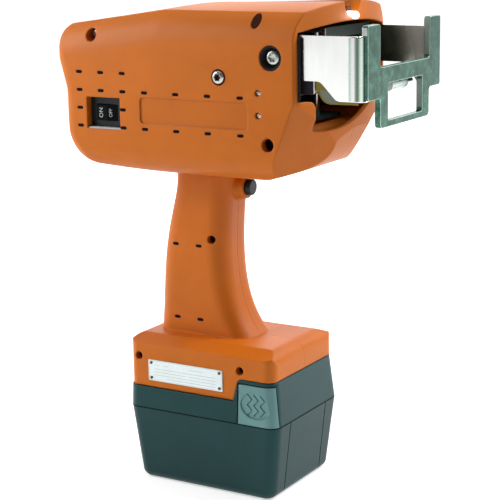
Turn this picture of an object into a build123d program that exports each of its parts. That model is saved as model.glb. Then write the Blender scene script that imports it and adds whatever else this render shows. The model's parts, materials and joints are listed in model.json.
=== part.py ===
from build123d import *
import math
import os

# A cordless nameplate marking machine, in millimetres.
# X points forward to the marking plate, Z up. The origin is the middle of the pack's flat base.
# The two housing halves meet on the plane Y = 0. The right half, with the switch, is at minus Y.

# General values
wall = 3.0
overrun = 1.0
body_gap = 0.3
slip = 0.05
seat_gap = 0.02

# Head of the housing
head_half_width = 54.5
head_bottom_z = 212.3
head_crease_z = 316.3
head_crown_rise = 5.0
head_break_crown_rise = 1.5
head_rear_crown_rise = 0.4
head_shoulder_run = 9.5
head_shoulder_drop = 20.0
head_belly_radius = 16.0
shoulder_inset_share = 0.6
head_break_x = -18.0
head_rear_top_x = -80.0
head_rear_fall = 8.5
head_rear_x = -99.5
head_rear_corner_radius = 19.0
head_horn_z = 283.8
head_horn_radius = 14.0
head_waist_x = -94.0
head_waist_z = 263.8
head_waist_radius = 20.0
head_heel_radius = 25.0
head_heel_z = 217.0
head_flat_x = -12.0
head_rear_edge_radius = 9.0

# Nose of the head
nose_tip_x = 91.0
nose_bow_radius = 176.0
nose_bow_y = 10.8
nose_under_x = 52.0
nose_chin_x = 84.0
nose_chin_z = 221.8
nose_face_z = 242.8
nose_under_radius = 30.0
nose_chin_radius = 26.0
nose_facet_top_z = 261.8
nose_facet_low_x = 60.5
nose_facet_low_z = 216.8
nose_facet_mid_x = 89.0
nose_facet_mid_y = -22.0
nose_facet_mid_z = 241.8
nose_far_facet_top_z = 258.0
nose_far_facet_low_x = 57.9
nose_far_facet_low_z = 216.8
nose_far_facet_mid_x = 90.8
nose_far_facet_mid_y = 20.0
nose_far_facet_mid_z = 240.6

# Nose opening, seen from the front
mouth_side_wall = 3.5
mouth_half_width = head_half_width - mouth_side_wall
mouth_side_top_z = 304.3
mouth_mid_top_z = 309.1
mouth_ledge_z = 262.8
mouth_ledge_width = 9.0
mouth_ledge_y = mouth_half_width - mouth_ledge_width
mouth_ledge_radius = 5.0
mouth_throat_y = mouth_ledge_y - mouth_ledge_radius
mouth_lip_low_z = 244.1
mouth_lip_mid_z = 246.8
mouth_lip_near_y = -18.0
mouth_lip_near_z = 243.7
mouth_lip_far_z = 254.3
mouth_lip_far_y = 20.0
mouth_far_ledge_width = 14.0
mouth_far_ledge_y = mouth_half_width - mouth_far_ledge_width
mouth_corner_radius = 2.5
mouth_depth = 24.0

# Sight groove and light
groove_start_x = 36.0
groove_end_x = 95.0
groove_radius = 10.2
groove_drop = 0.6
light_z = 314.3
light_radius = 2.3
light_dome_share = 0.8
light_holder_radius = 3.6
light_holder_length = 12.0
light_holder_front_x = 88.0
light_stick_out = 2.0

# Grip: rear x, front x and half width at each height
grip_foot_z = 94.8
grip_low_z = 108.8
grip_lower_z = 126.8
grip_middle_z = 152.8
grip_upper_z = 174.8
grip_neck_z = 194.8
grip_top_z = 215.3
grip_rear_foot_x = -50.0
grip_rear_low_x = -48.9
grip_rear_lower_x = -47.6
grip_rear_middle_x = -45.2
grip_rear_upper_x = -41.0
grip_rear_neck_x = -36.0
grip_rear_top_x = -36.5
grip_front_foot_x = 26.0
grip_front_low_x = 15.5
grip_front_lower_x = 8.0
grip_front_middle_x = 4.6
grip_front_upper_x = 4.9
grip_front_neck_x = 6.8
grip_front_top_x = 9.0
grip_half_width = 18.5
grip_foot_half_width = 19.5
grip_corner_radius = 12.0

# Base of the housing
base_front_x = 54.3
base_rear_extra = 2.7
base_rear_x = -base_front_x - base_rear_extra
base_half_width = 41.3
base_top_z = 99.8
base_bottom_z = 65.8
base_front_bottom_z = 80.8
base_chamfer_run = 12.0
base_chamfer_drop = 4.8
base_corner_radius = 7.0
base_front_edge_radius = 9.0
base_rear_edge_radius = 6.0
base_step_run = 29.9
base_step_x = base_front_x - base_step_run
base_step_slant = 4.0
base_step_radius = 4.0
deck_thickness = 3.0
rail_reach = 3.5
rail_height = 4.0

# Clamshell screws: x and z of each, with the counterbore
screw_head_radius = 3.7
screw_head_height = 3.0
screw_shank_radius = 1.75
screw_sink = 1.6
screw_deep_sink = 5.5
screw_length = 26.0
socket_share = 0.45
socket_sides = 6
round_share = 0.3
screw_boss_radius = 5.2
screw_recess_radius = 4.2
small_screw_head_radius = 2.3
small_screw_recess_radius = 2.8
small_screw_boss_radius = 4.2
rear_screw_x = -70.5
rear_screw_z = 299.8
mid_screw_x = 26.3
mid_screw_z = 276.6
top_screw_x = 51.0
top_screw_z = 309.3
chin_screw_x = 60.5
chin_screw_z = 236.7
grip_screw_x = -4.5
grip_screw_z = 165.2
base_screw_rear_inset = 8.1
base_screw_front_inset = 24.5
base_screw_z = 86.2

# Bracket screws with their rubber bushes
bush_x = 63.0
bush_z = 289.4
bush_radius = 7.7
bush_length = 6.0
bush_cup_radius = 4.4
bush_floor = 1.8
bush_sink = 0.8
bracket_head_radius = 4.1
bracket_head_height = 2.6
bracket_shank_radius = 2.5
sight_hole_radius = 2.0
sight_hole_x = 54.0
sight_hole_high_z = 268.1
sight_hole_low_z = 254.4

# Vent slots
vent_length = 4.5
vent_width = 1.7
vent_rear_x = -79.6
vent_column_pitch = 16.9
vent_top_z = 276.2
vent_row_pitch = 11.6
vent_row_count = 4
vent_column_count = 3
vent_front_x = -29.0
vent_front_pitch = 23.5
vent_front_count = 4
grip_vent_x = -32.0
grip_vent_pitch = 18.0
grip_vent_high_z = 160.1
grip_vent_low_z = 109.8

# Recess on the side of the head
label_left_x = -32.7
label_right_x = 46.8
label_low_z = 245.1
label_high_z = 261.6
label_depth = 0.7
label_corner_radius = 2.5

# Power switch in its pocket
pocket_left_x = -74.4
pocket_right_x = -48.2
pocket_low_z = 239.8
pocket_high_z = 260.3
pocket_depth = 6.5
pocket_wall = 2.0
bezel_clearance = 0.3
bezel_height = 1.6
bezel_lip = 2.6
switch_body_depth = 19.0
rocker_rise = 1.9
rocker_half_angle = 8.0
rocker_gap = 0.35
rocker_sink = 3.0
rocker_pivot_radius = 1.2
rocker_pivot_length = 1.0
terminal_tab_length = 6.0
terminal_tab_width = 4.8
terminal_tab_thickness = 0.8
terminal_tab_share = 0.25

# Trigger under the nose
trigger_z = 199.0
boss_root_x = -2.0
boss_front_x = 13.6
boss_root_radius = 11.2
boss_front_radius = 7.6
button_radius = 5.4
button_stick_out = 4.2
button_dome_rise = 1.2
button_guide_length = 9.0
button_travel = 2.5
button_stem_radius = 1.6
button_collar_radius = 6.5
button_collar_length = 1.5
trigger_switch_length = 12.0
trigger_switch_height = 10.0
trigger_switch_width = 6.4
trigger_spring_radius = 3.4
trigger_spring_wire = 0.5
trigger_spring_turns = 4

# Nameplate on the base
plate_inset = 16.0
plate_length = 57.8
plate_left_x = base_rear_x + plate_inset
plate_right_x = plate_left_x + plate_length
plate_low_z = 70.4
plate_high_z = 84.7
plate_thickness = 0.6
plate_corner_radius = 0.6
rivet_inset_x = 2.3
rivet_inset_z = 2.0
rivet_radius = 1.0
rivet_rise = 0.6

# Battery pack
pack_front_overhang = 0.3
pack_side_overhang = 0.1
pack_front_lean = 3.0
pack_side_lean = 2.1
pack_foot_end_inset = 6.1
pack_foot_side_inset = 3.1
pack_top_front_x = base_front_x + pack_front_overhang
pack_top_half_width = base_half_width + pack_side_overhang
pack_half_length = pack_top_front_x + pack_front_lean
pack_half_width = pack_top_half_width + pack_side_lean
pack_foot_half_length = pack_half_length - pack_foot_end_inset
pack_foot_half_width = pack_half_width - pack_foot_side_inset
pack_seam_z = 51.0
pack_corner_radius = 8.0
pack_foot_edge_radius = 6.0
pack_floor = 5.0
pack_top_gap = 0.4
pack_groove_width = 0.9
pack_groove_depth = 0.7
pack_groove_inset = 16.4
pack_groove_y = pack_foot_half_width - pack_groove_inset
tongue_head_thickness = 4.0
tongue_end_gap = 0.6
tongue_rear_x = base_rear_x + wall + tongue_end_gap

# Cells in the pack
cell_radius = 9.1
cell_end_room = 11.0
cell_length = 2 * (pack_half_width - cell_end_room)
cell_pitch = 18.7
cell_layer_pitch = 18.5
cell_columns = 5
cell_layers = 3
cell_count = 14
end_plate_thickness = 1.5
pack_board_thickness = 1.6
pack_board_end_inset = 15.6
pack_board_side_inset = 17.5
pack_board_half_length = pack_half_length - pack_board_end_inset
pack_board_half_width = pack_half_width - pack_board_side_inset

# Latch buttons of the pack
latch_step_gap = 4.8
latch_rear_x = base_step_x + latch_step_gap
latch_top_z = 77.4
latch_thickness = 4.2
latch_gap = 0.9
latch_face_angle = 20.0
latch_pocket_depth = 7.0
latch_pocket_y = pack_half_width - latch_pocket_depth
latch_pin_radius = 1.5
latch_hub_radius = 3.6
hook_stem_width = 2.3
hook_length = 12.0
hook_front_x = latch_rear_x + hook_stem_width
hook_rear_x = hook_front_x - hook_length
hook_tooth_length = 3.0
hook_inset = 6.4
hook_inner_y = base_half_width - hook_inset
hook_thickness = 2.0
hook_tooth_inset = 2.0
hook_tooth_y = base_half_width - hook_tooth_inset
hook_height = 3.0
hook_swing = 2.6
latch_dimple_run = 14.8
latch_dimple_x = latch_rear_x + latch_dimple_run
latch_dimple_z = 64.8
latch_dimple_width = 19.0
latch_dimple_height = 18.0
latch_dimple_depth = 0.7
zigzag_width = 0.7
zigzag_pitch = 4.0
zigzag_step_x = 3.0
zigzag_step_z = 3.6
zigzag_count = 3
zigzag_bends = 4
latch_spring_radius = 1.9
latch_spring_wire = 0.45
latch_spring_turns = 4

# Battery terminals
blade_thickness = 0.8
blade_height = 4.6
blade_inset = 13.4
blade_length = 24.0
blade_rear_x = tongue_rear_x + blade_inset
blade_front_x = blade_rear_x + blade_length
blade_pitch = 13.0
blade_count = 3
terminal_block_height = 5.6
terminal_block_half_width = 21.0
terminal_block_overhang = 4.0
terminal_slot_width = 2.2
clip_thickness = 0.5
clip_length = 12.0

# Marking plate
mark_plate_front_x = 126.7
mark_plate_thickness = 4.0
prong_top_z = 309.8
prong_setback = 3.2
prong_width = 16.1
prong_outer_y = head_half_width - prong_setback
prong_inner_y = prong_outer_y - prong_width
crossbar_top_z = 284.3
wing_bottom_z = 266.1
frame_inset = 0.6
frame_half_width = prong_inner_y - frame_inset
frame_bottom_z = 248.1
frame_side_width = 10.1
window_half_width = frame_half_width - frame_side_width
window_low_z = 252.0
window_high_z = 274.4
plate_outer_radius = 2.0
plate_inner_radius = 2.5
plate_frame_radius = 3.0
window_corner_radius = 1.0

# Bracket arms and their inner sheets
sheet = 2.0
arm_outer_y = head_half_width - bush_length
arm_rear_x = 33.0
arm_top_z = 303.1
arm_root_low_z = 249.3
arm_root_x = 69.0
arm_ledge_x = 74.0
arm_right_ledge_z = 276.2
arm_left_ledge_z = 279.8
arm_right_slope_x = 93.5
arm_left_slope_x = 104.0
arm_slope_run = 11.0
arm_tip_low_z = 264.8
arm_slope_radius = 6.0
arm_bend_radius = 4.0
arm_flange_width = 10.5
arm_flange_inner_y = arm_outer_y - arm_flange_width
liner = 1.5
liner_rear_x = 72.6
liner_front_x = 104.0
liner_low_z = 260.8
liner_step_x = 88.5
liner_step_z = 269.8
liner_step_radius = 5.0
liner_top_gap = 4.0

# Chassis
chassis_back_x = 33.0
chassis_top_z = 304.4
chassis_flange_low_z = 243.3
chassis_flange_reach = 23.0
chassis_side_low_z = 250.8
hood_front_x = 81.0
hood_low_z = 298.3
hood_high_z = 305.2
hood_right_y = 18.0
hood_side_gap = 5.5
hood_left_y = arm_outer_y - hood_side_gap
chassis_window_half_width = 14.0
chassis_window_low_z = 254.8
chassis_window_high_z = 294.8
chassis_side_reach = 39.5

# Vertical stage
stylus_y = 4.0
stylus_z = 273.0
stage_x = 46.0
guide_radius = 2.5
guide_inset = 8.0
beam_depth = 10.0
beam_drop = 13.0
beam_rise = 16.0
beam_end_gap = 3.0
beam_half_width = arm_outer_y - sheet - beam_end_gap
guide_y = beam_half_width - guide_inset
ear_thickness = 3.0
ear_front_x = 66.0
ear_rise = 10.0
bush_wall = 1.5
lift_screw_inset = 13.5
lift_screw_y = lift_screw_inset - guide_y
lift_screw_radius = 2.5
lift_nut_radius = 5.5
lift_nut_height = 5.0
lift_motor_side = 17.0
lift_motor_height = 21.0
lift_motor_chamfer = 1.7

# Lateral stage
cross_x = 60.0
cross_guide_radius = 1.8
cross_guide_offset = 6.2
cross_screw_radius = 1.5
rider_depth = 16.0
rider_half_width = 13.0
rider_half_height = 10.0
rider_chamfer = 1.2
rider_bush_radius = 2.8
rider_motor_side = 6.4
rider_motor_depth = 12.0

# Solenoid, marking pin and the barrel across the nose
solenoid_radius = 7.5
solenoid_length = 21.0
solenoid_wall = 1.6
nozzle_radius = 4.5
nozzle_length = 24.0
nozzle_shoulder = 3.0
pin_radius = 1.1
pin_tip_x = 121.6
pin_point_length = 3.5
pin_point_radius = 0.4
armature_radius = 4.5
armature_length = 6.0
pin_spring_radius = 3.0
pin_spring_wire = 0.5
pin_spring_turns = 5
barrel_x = 117.5
barrel_z = 271.0
barrel_radius = 3.6
barrel_half_length = 11.0
barrel_rim = 0.8
barrel_rod_radius = 1.2
barrel_rod_seat = 5.0
barrel_rod_reach = 13.0
clamp_radius = 6.6
clamp_rear_x = 106.0
clamp_front_x = 114.0
web_half_width = 4.0

# Control board
board_thickness = 1.6
board_y = 22.0
board_rear_x = -82.0
board_front_x = 14.0
board_low_z = 229.8
board_high_z = 289.8
board_post_radius = 3.5
board_post_inset = 6.0
chip_height = 3.0
chip_side = 14.0
capacitor_radius = 5.0
capacitor_height = 14.0
connector_length = 22.0
connector_width = 7.0
connector_height = 9.0

# Places worked out from the sizes above
head_crown_z = head_crease_z + head_crown_rise
nose_bow_x = nose_tip_x - nose_bow_radius
nose_corner_x = nose_bow_x + math.sqrt(nose_bow_radius ** 2 - (head_half_width + nose_bow_y) ** 2)
nose_far_corner_x = nose_bow_x + math.sqrt(nose_bow_radius ** 2 - (head_half_width - nose_bow_y) ** 2)
mark_plate_back_x = mark_plate_front_x - mark_plate_thickness
arm_inner_y = arm_outer_y - sheet
guide_bush_radius = guide_radius + bush_wall
rider_rear_x = cross_x - rider_depth / 2
rider_front_x = cross_x + rider_depth / 2
solenoid_front_x = rider_front_x + solenoid_length
nozzle_front_x = solenoid_front_x + nozzle_length
switch_x = (pocket_left_x + pocket_right_x) / 2
switch_z = (pocket_low_z + pocket_high_z) / 2
pocket_floor_y = -head_half_width + pocket_depth
pack_corner_x = pack_half_length - pack_corner_radius
pack_corner_y = pack_half_width - pack_corner_radius
chassis_flange_x = chassis_back_x + sheet + chassis_flange_reach
deck_z = base_front_bottom_z
vent_low_z = vent_top_z - (vent_row_count - 1) * vent_row_pitch


def block(x0, x1, y0, y1, z0, z1):
    """A box between two corners."""
    middle = Pos((x0 + x1) / 2, (y0 + y1) / 2, (z0 + z1) / 2)
    return middle * Box(x1 - x0, y1 - y0, z1 - z0)


def rod_x(x0, x1, y, z, radius):
    """A round bar along X."""
    return Pos((x0 + x1) / 2, y, z) * Rot(0, 90, 0) * Cylinder(radius, x1 - x0)


def rod_y(y0, y1, x, z, radius):
    """A round bar along Y."""
    return Pos(x, (y0 + y1) / 2, z) * Rot(90, 0, 0) * Cylinder(radius, y1 - y0)


def rod_z(z0, z1, x, y, radius):
    """A round bar along Z."""
    return Pos(x, y, (z0 + z1) / 2) * Cylinder(radius, z1 - z0)


def flat_shape(points, radii):
    """A closed flat outline whose corners have their own radii."""
    return make_face(FilletPolyline(*points, radius=radii, close=True))


def side_plate(face, y0, y1):
    """An outline drawn in X and Z, given thickness from y0 to y1."""
    return Pos(0, y1, 0) * extrude(Plane.XZ * face, amount=y1 - y0)


def front_plate_solid(face, x0, x1):
    """An outline drawn in Y and Z, given thickness from x0 to x1."""
    return Pos(x0, 0, 0) * extrude(Plane.YZ * face, amount=x1 - x0)


def mirrored(solid):
    """The same shape on the other side of the plane Y = 0."""
    return mirror(solid, about=Plane.XZ)


def coil(radius, wire, turns, height):
    """A round wire spring along Z that starts at Z = 0."""
    path = Helix(pitch=(height - 2 * wire) / turns, height=height - 2 * wire, radius=radius)
    section = Plane(origin=path @ 0, z_dir=path % 0) * Circle(wire)
    return Pos(0, 0, wire) * sweep(section, path=path)


def head_section(half, bottom, crease, rise, inset):
    """The head cut across: flat bottom, rolled belly, upright sides, rolled shoulders and a crowned top."""
    side = half - inset
    low = bottom + inset
    belly = head_belly_radius - inset
    top = crease - inset
    start = crease - head_shoulder_drop
    run = head_shoulder_run - inset * shoulder_inset_share
    outline = Line((-side + belly, low), (side - belly, low))
    outline += RadiusArc((side - belly, low), (side, low + belly), -belly)
    outline += Line((side, low + belly), (side, start))
    outline += TangentArc((side, start), (side - run, top), tangent=(0, 1))
    outline += ThreePointArc((side - run, top), (0, top + rise), (-side + run, top))
    outline += TangentArc((-side, start), (-side + run, top), tangent=(0, 1))
    outline += Line((-side, start), (-side, low + belly))
    outline += RadiusArc((-side, low + belly), (-side + belly, low), -belly)
    return make_face(outline)


def head_side_outline():
    """The head seen from the side: horned rear face, round heel, flat belly and rising chin."""
    slope = head_rear_fall / (head_break_x - head_rear_top_x)
    rear_crease_z = head_crease_z - head_rear_fall
    rear_corner_z = rear_crease_z - slope * (head_rear_top_x - head_rear_x)
    over = head_crown_z + head_belly_radius
    points = [
        (nose_tip_x + head_belly_radius, over),
        (head_break_x, over),
        (head_rear_top_x, rear_crease_z + head_rear_crown_rise + overrun),
        (head_rear_x, rear_corner_z + overrun),
        (head_rear_x, head_horn_z),
        (head_waist_x, head_waist_z),
        (head_waist_x, head_heel_z),
        (head_flat_x, head_bottom_z),
        (nose_under_x, head_bottom_z),
        (nose_chin_x, nose_chin_z),
        (nose_tip_x, nose_face_z),
        (nose_tip_x + head_belly_radius, nose_face_z + head_belly_radius),
    ]
    radii = [
        0, 0, 0, head_rear_corner_radius, head_horn_radius, head_waist_radius, head_heel_radius,
        0, nose_under_radius, nose_chin_radius, 0, 0,
    ]
    return flat_shape(points, radii)


def nose_facet(top, low, mid, inset):
    """What a slanting lower facet of the nose takes off, from three points of its plane."""
    normal = (low - top).cross(mid - top).normalized()
    if normal.X < 0:
        normal = -normal
    reach = head_half_width * 2
    plane = Plane(origin=top - normal * inset, z_dir=normal)
    return extrude(plane * Rectangle(reach * 2, reach * 2), amount=reach)


def nose_facets(inset):
    """The facets of the right and the left side."""
    right = nose_facet(
        Vector(nose_corner_x, -head_half_width, nose_facet_top_z),
        Vector(nose_facet_low_x, -head_half_width, nose_facet_low_z),
        Vector(nose_facet_mid_x, nose_facet_mid_y, nose_facet_mid_z),
        inset,
    )
    left = nose_facet(
        Vector(nose_far_corner_x, head_half_width, nose_far_facet_top_z),
        Vector(nose_far_facet_low_x, head_half_width, nose_far_facet_low_z),
        Vector(nose_far_facet_mid_x, nose_far_facet_mid_y, nose_far_facet_mid_z),
        inset,
    )
    return [right, left]


def head_form(inset):
    """The head's outer form, or the same form drawn in by a wall."""
    low_crown = head_section(head_half_width, head_bottom_z, head_crease_z, head_break_crown_rise, inset)
    high_crown = head_section(head_half_width, head_bottom_z, head_crease_z, head_crown_rise, inset)
    rear_faces = [Plane.YZ.offset(head_break_x) * low_crown]
    front_faces = [rear_faces[0], Plane.YZ.offset(nose_tip_x + overrun) * high_crown]
    slope = head_rear_fall / (head_break_x - head_rear_top_x)
    for x in (head_rear_top_x, head_rear_x - head_rear_corner_radius):
        crease = head_crease_z - slope * (head_break_x - x)
        cut = head_section(head_half_width, head_bottom_z, crease, head_rear_crown_rise, inset)
        rear_faces.append(Plane.YZ.offset(x) * cut)
    form = loft(front_faces, ruled=True) + loft(rear_faces, ruled=True)
    outline = head_side_outline()
    if inset:
        outline = offset(outline, amount=-inset, kind=Kind.INTERSECTION)
    side = head_half_width - inset
    slab = side_plate(outline, -side, side)
    rims = slab.faces().sort_by(Axis.Y)
    slab = fillet(rims[0].edges() + rims[-1].edges(), head_rear_edge_radius - inset)
    form = form & slab
    height = 2 * head_crown_z
    bow = Pos(nose_bow_x, nose_bow_y, height / 2) * Rot(0, 0, 180) * Cylinder(nose_bow_radius - inset, height)
    return (form & bow) - nose_facets(inset)


def rounded_block(x0, x1, half, radius):
    """A flat rounded rectangle in plan."""
    return Pos((x0 + x1) / 2, 0) * RectangleRounded(x1 - x0, 2 * half, radius)


def grip_form(inset):
    """The grip, lofted through sections that lean and swell as a hand needs."""
    stations = [
        (grip_foot_z, grip_rear_foot_x, grip_front_foot_x, grip_foot_half_width),
        (grip_low_z, grip_rear_low_x, grip_front_low_x, grip_half_width),
        (grip_lower_z, grip_rear_lower_x, grip_front_lower_x, grip_half_width),
        (grip_middle_z, grip_rear_middle_x, grip_front_middle_x, grip_half_width),
        (grip_upper_z, grip_rear_upper_x, grip_front_upper_x, grip_half_width),
        (grip_neck_z, grip_rear_neck_x, grip_front_neck_x, grip_half_width),
        (grip_top_z, grip_rear_top_x, grip_front_top_x, grip_half_width),
    ]
    faces = []
    for z, rear, front, half in stations:
        flat = rounded_block(rear + inset, front - inset, half - inset, grip_corner_radius - inset)
        faces.append(Plane.XY.offset(z) * flat)
    return loft(faces)


def base_form(inset, bottom):
    """The base block with its long side chamfers and rounded front edge."""
    half = base_half_width - inset
    top = base_top_z - inset
    run = base_chamfer_run
    drop = base_chamfer_drop
    points = [(-half, bottom), (half, bottom), (half, top - drop), (half - run, top), (run - half, top)]
    points.append((-half, top - drop))
    section = make_face(Polyline(*points, close=True))
    rear = base_rear_x + inset
    front = base_front_x - inset
    form = front_plate_solid(section, rear, front)
    plan = rounded_block(rear, front, half, base_corner_radius - inset)
    form = form & extrude(Plane.XY.offset(bottom) * plan, amount=top - bottom)
    side = flat_shape([(rear, bottom), (front, bottom), (front, top), (rear, top)],
                      [0, 0, base_front_edge_radius - inset, base_rear_edge_radius - inset])
    return form & side_plate(side, -2 * half, 2 * half)


def step_outline(shift, low):
    """The region in front of the skirt's slanting step, in X and Z."""
    over = base_front_x + base_half_width
    top = base_front_bottom_z
    points = [
        (base_step_x + shift, low),
        (base_step_x + base_step_slant + shift, top),
        (over, top),
        (over, low),
    ]
    return flat_shape(points, [0, base_step_radius, 0, 0])


def mouth_outline():
    """The nose opening seen from the front, in Y and Z."""
    half = mouth_half_width
    outline = ThreePointArc((-half, mouth_side_top_z), (0, mouth_mid_top_z), (half, mouth_side_top_z))
    outline += Line((half, mouth_side_top_z), (half, mouth_ledge_z))
    outline += Line((half, mouth_ledge_z), (mouth_far_ledge_y, mouth_ledge_z))
    low_y = -mouth_throat_y + mouth_corner_radius
    outline += Spline(
        (mouth_far_ledge_y, mouth_ledge_z),
        (mouth_lip_far_y, mouth_lip_far_z),
        (0, mouth_lip_mid_z),
        (mouth_lip_near_y, mouth_lip_near_z),
        (low_y, mouth_lip_low_z),
    )
    throat = (-mouth_throat_y, mouth_lip_low_z + mouth_corner_radius)
    outline += RadiusArc((low_y, mouth_lip_low_z), throat, mouth_corner_radius)
    rise = mouth_ledge_radius
    outline += Line(throat, (-mouth_throat_y, mouth_ledge_z - rise))
    outline += RadiusArc((-mouth_throat_y, mouth_ledge_z - rise), (-mouth_ledge_y, mouth_ledge_z), -rise)
    outline += Line((-mouth_ledge_y, mouth_ledge_z), (-half, mouth_ledge_z))
    outline += Line((-half, mouth_ledge_z), (-half, mouth_side_top_z))
    return make_face(outline)


def groove_form(extra):
    """The tapered sight groove as a cone that lies in the crown of the head."""
    length = groove_end_x - groove_start_x
    cone = Rot(0, 0, 180) * Cone(extra, groove_radius + extra, length)
    return Pos(groove_start_x + length / 2, 0, head_crown_z - groove_drop) * Rot(0, 90, 0) * cone


def vent_places():
    """Centres of the vent slots on a side of the head, in X and Z."""
    places = []
    for row in range(vent_row_count):
        z = vent_top_z - row * vent_row_pitch
        for column in range(vent_column_count):
            beside_switch = row > 1 and column == 1
            if not beside_switch:
                places.append((vent_rear_x + column * vent_column_pitch, z))
    for z in (vent_top_z - vent_row_pitch, vent_low_z):
        for column in range(vent_front_count):
            places.append((vent_front_x + column * vent_front_pitch, z))
    return places


def vent_cut(x, z, outer_y):
    """One vent slot through the right wall."""
    slot = SlotOverall(vent_length, vent_width)
    return side_plate(Pos(x, z) * slot, outer_y - overrun, outer_y + wall + overrun)


def screw_places():
    """Clamshell screws: x, z, outer y of the wall, sink, head, recess and boss radius."""
    big = (screw_head_radius, screw_recess_radius, screw_boss_radius)
    small = (small_screw_head_radius, small_screw_recess_radius, small_screw_boss_radius)
    side = -head_half_width
    shoulder = side + head_shoulder_run / 2
    return [
        (rear_screw_x, rear_screw_z, shoulder, screw_deep_sink, *big),
        (mid_screw_x, mid_screw_z, side, screw_sink, *big),
        (top_screw_x, top_screw_z, shoulder, screw_deep_sink, *small),
        (chin_screw_x, chin_screw_z, side, screw_deep_sink, *big),
        (grip_screw_x, grip_screw_z, -grip_half_width, screw_sink + screw_head_height, *small),
        (base_rear_x + base_screw_rear_inset, base_screw_z, -base_half_width, screw_deep_sink, *small),
        (base_front_x - base_screw_front_inset, base_screw_z, -base_half_width, screw_deep_sink, *small),
    ]


def housing_form():
    """The whole housing outside, before it is hollowed."""
    form = head_form(0) + grip_form(0) + base_form(0, base_bottom_z)
    boss_length = boss_front_x - boss_root_x
    boss = Cone(boss_root_radius, boss_front_radius, boss_length)
    form += Pos(boss_root_x + boss_length / 2, 0, trigger_z) * Rot(0, 90, 0) * boss
    return form


def housing_cavity():
    """The hollow inside the housing."""
    hollow = head_form(wall) + grip_form(wall) + base_form(wall, deck_z + deck_thickness)
    channel_half = base_half_width - wall - overrun
    hollow += block(base_rear_x + wall, base_front_x + overrun, -channel_half, channel_half,
                    base_bottom_z - overrun, deck_z)
    return hollow


def rails():
    """Inward rails that carry the pack, one under each skirt."""
    half = base_half_width - wall - overrun
    rail = block(base_rear_x + wall, base_step_x, -half - overrun, -half + rail_reach,
                 base_bottom_z, base_bottom_z + rail_height)
    return rail + mirrored(rail)


def switch_pocket():
    """Walls of the switch pocket, set in the right side of the head."""
    return block(pocket_left_x - pocket_wall, pocket_right_x + pocket_wall,
                 -head_half_width + overrun, pocket_floor_y + pocket_wall,
                 pocket_low_z - pocket_wall, pocket_high_z + pocket_wall)


def board_posts():
    """Four posts on the left wall that carry the control board."""
    posts = Part()
    for x in (board_rear_x + board_post_inset, board_front_x - board_post_inset):
        for z in (board_low_z + board_post_inset, board_high_z - board_post_inset):
            posts += rod_y(board_y + board_thickness, head_half_width - wall / 2, x, z, board_post_radius)
    return posts


def trigger_cradle():
    """Ribs in the grip's top that hold the trigger's micro switch from both sides."""
    x1 = switch_front_x()
    x0 = x1 - trigger_switch_length
    low = trigger_z - trigger_switch_height / 2
    rib = block(x0, x1, -grip_half_width + wall / 2, -trigger_switch_width / 2,
                low - wall, trigger_z + trigger_switch_height / 2)
    shelf = block(x0, x1, -grip_half_width + wall / 2, 0, low - wall, low)
    return rib + shelf + mirrored(rib + shelf)


def switch_front_x():
    """Front face of the trigger's micro switch."""
    return boss_front_x - button_guide_length - button_travel - wall


def side_pair(solid):
    """A solid and its mirror image on the other side."""
    return [solid, mirrored(solid)]


def housing_bosses(outer):
    """Everything that stands inside the hollow, trimmed to the outer form."""
    bosses = [groove_form(wall), switch_pocket()]
    for x, z, outer_y, sink, head, recess, boss in screw_places():
        bosses.append(rod_y(outer_y, -outer_y, x, z, boss))
    return [boss & outer for boss in bosses] + [board_posts(), trigger_cradle(), rails()]


def housing_cuts():
    """Everything that is cut through the walls."""
    over = head_half_width + overrun
    cuts = [groove_form(0)]
    cuts.append(front_plate_solid(mouth_outline(), nose_tip_x - mouth_depth, nose_tip_x + overrun))
    cuts.append(side_plate(step_outline(0, base_bottom_z - overrun), -over, over))
    cuts.append(block(pocket_left_x, pocket_right_x, -over, pocket_floor_y, pocket_low_z, pocket_high_z))
    width, height = switch_body_size()
    cuts.append(block(switch_x - width / 2 - seat_gap, switch_x + width / 2 + seat_gap,
                      pocket_floor_y - overrun, pocket_floor_y + pocket_wall + overrun,
                      switch_z - height / 2 - seat_gap, switch_z + height / 2 + seat_gap))
    for x, z, outer_y, sink, head, recess, boss in screw_places():
        seat = outer_y + sink
        cuts.append(rod_y(outer_y - head_half_width, seat, x, z, recess))
        cuts.append(rod_y(seat - overrun, seat + screw_length + overrun, x, z, screw_shank_radius + seat_gap))
    cuts += side_pair(rod_y(arm_outer_y - overrun, over, bush_x, bush_z, bush_radius + seat_gap))
    for z in (sight_hole_low_z, sight_hole_high_z):
        cuts.append(rod_y(-over, -head_half_width + wall + overrun, sight_hole_x, z, sight_hole_radius))
    label = Pos((label_left_x + label_right_x) / 2, (label_low_z + label_high_z) / 2) * RectangleRounded(
        label_right_x - label_left_x, label_high_z - label_low_z, label_corner_radius)
    cuts.append(side_plate(label, -over, -head_half_width + label_depth))
    for x, z in vent_places():
        cuts += side_pair(vent_cut(x, z, -head_half_width))
    for z in (grip_vent_low_z, grip_vent_high_z):
        for column in range(2):
            cuts += side_pair(vent_cut(grip_vent_x + column * grip_vent_pitch, z, -grip_half_width))
    cuts.append(rod_x(switch_front_x(), boss_front_x + overrun, 0, trigger_z, button_radius + slip))
    collar_front = boss_front_x - button_guide_length + button_collar_length
    cuts.append(rod_x(switch_front_x(), collar_front, 0, trigger_z, button_collar_radius + slip))
    cuts.append(rod_x(light_holder_front_x - light_holder_length, nose_tip_x + overrun, 0, light_z,
                      light_holder_radius + seat_gap))
    return cuts + side_pair(hook_notch())


def make_housing():
    """The hollow housing with all its bosses and openings, still in one piece."""
    outer = housing_form()
    shell = outer - housing_cavity()
    shell = shell + housing_bosses(outer)
    return shell - housing_cuts()


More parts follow.
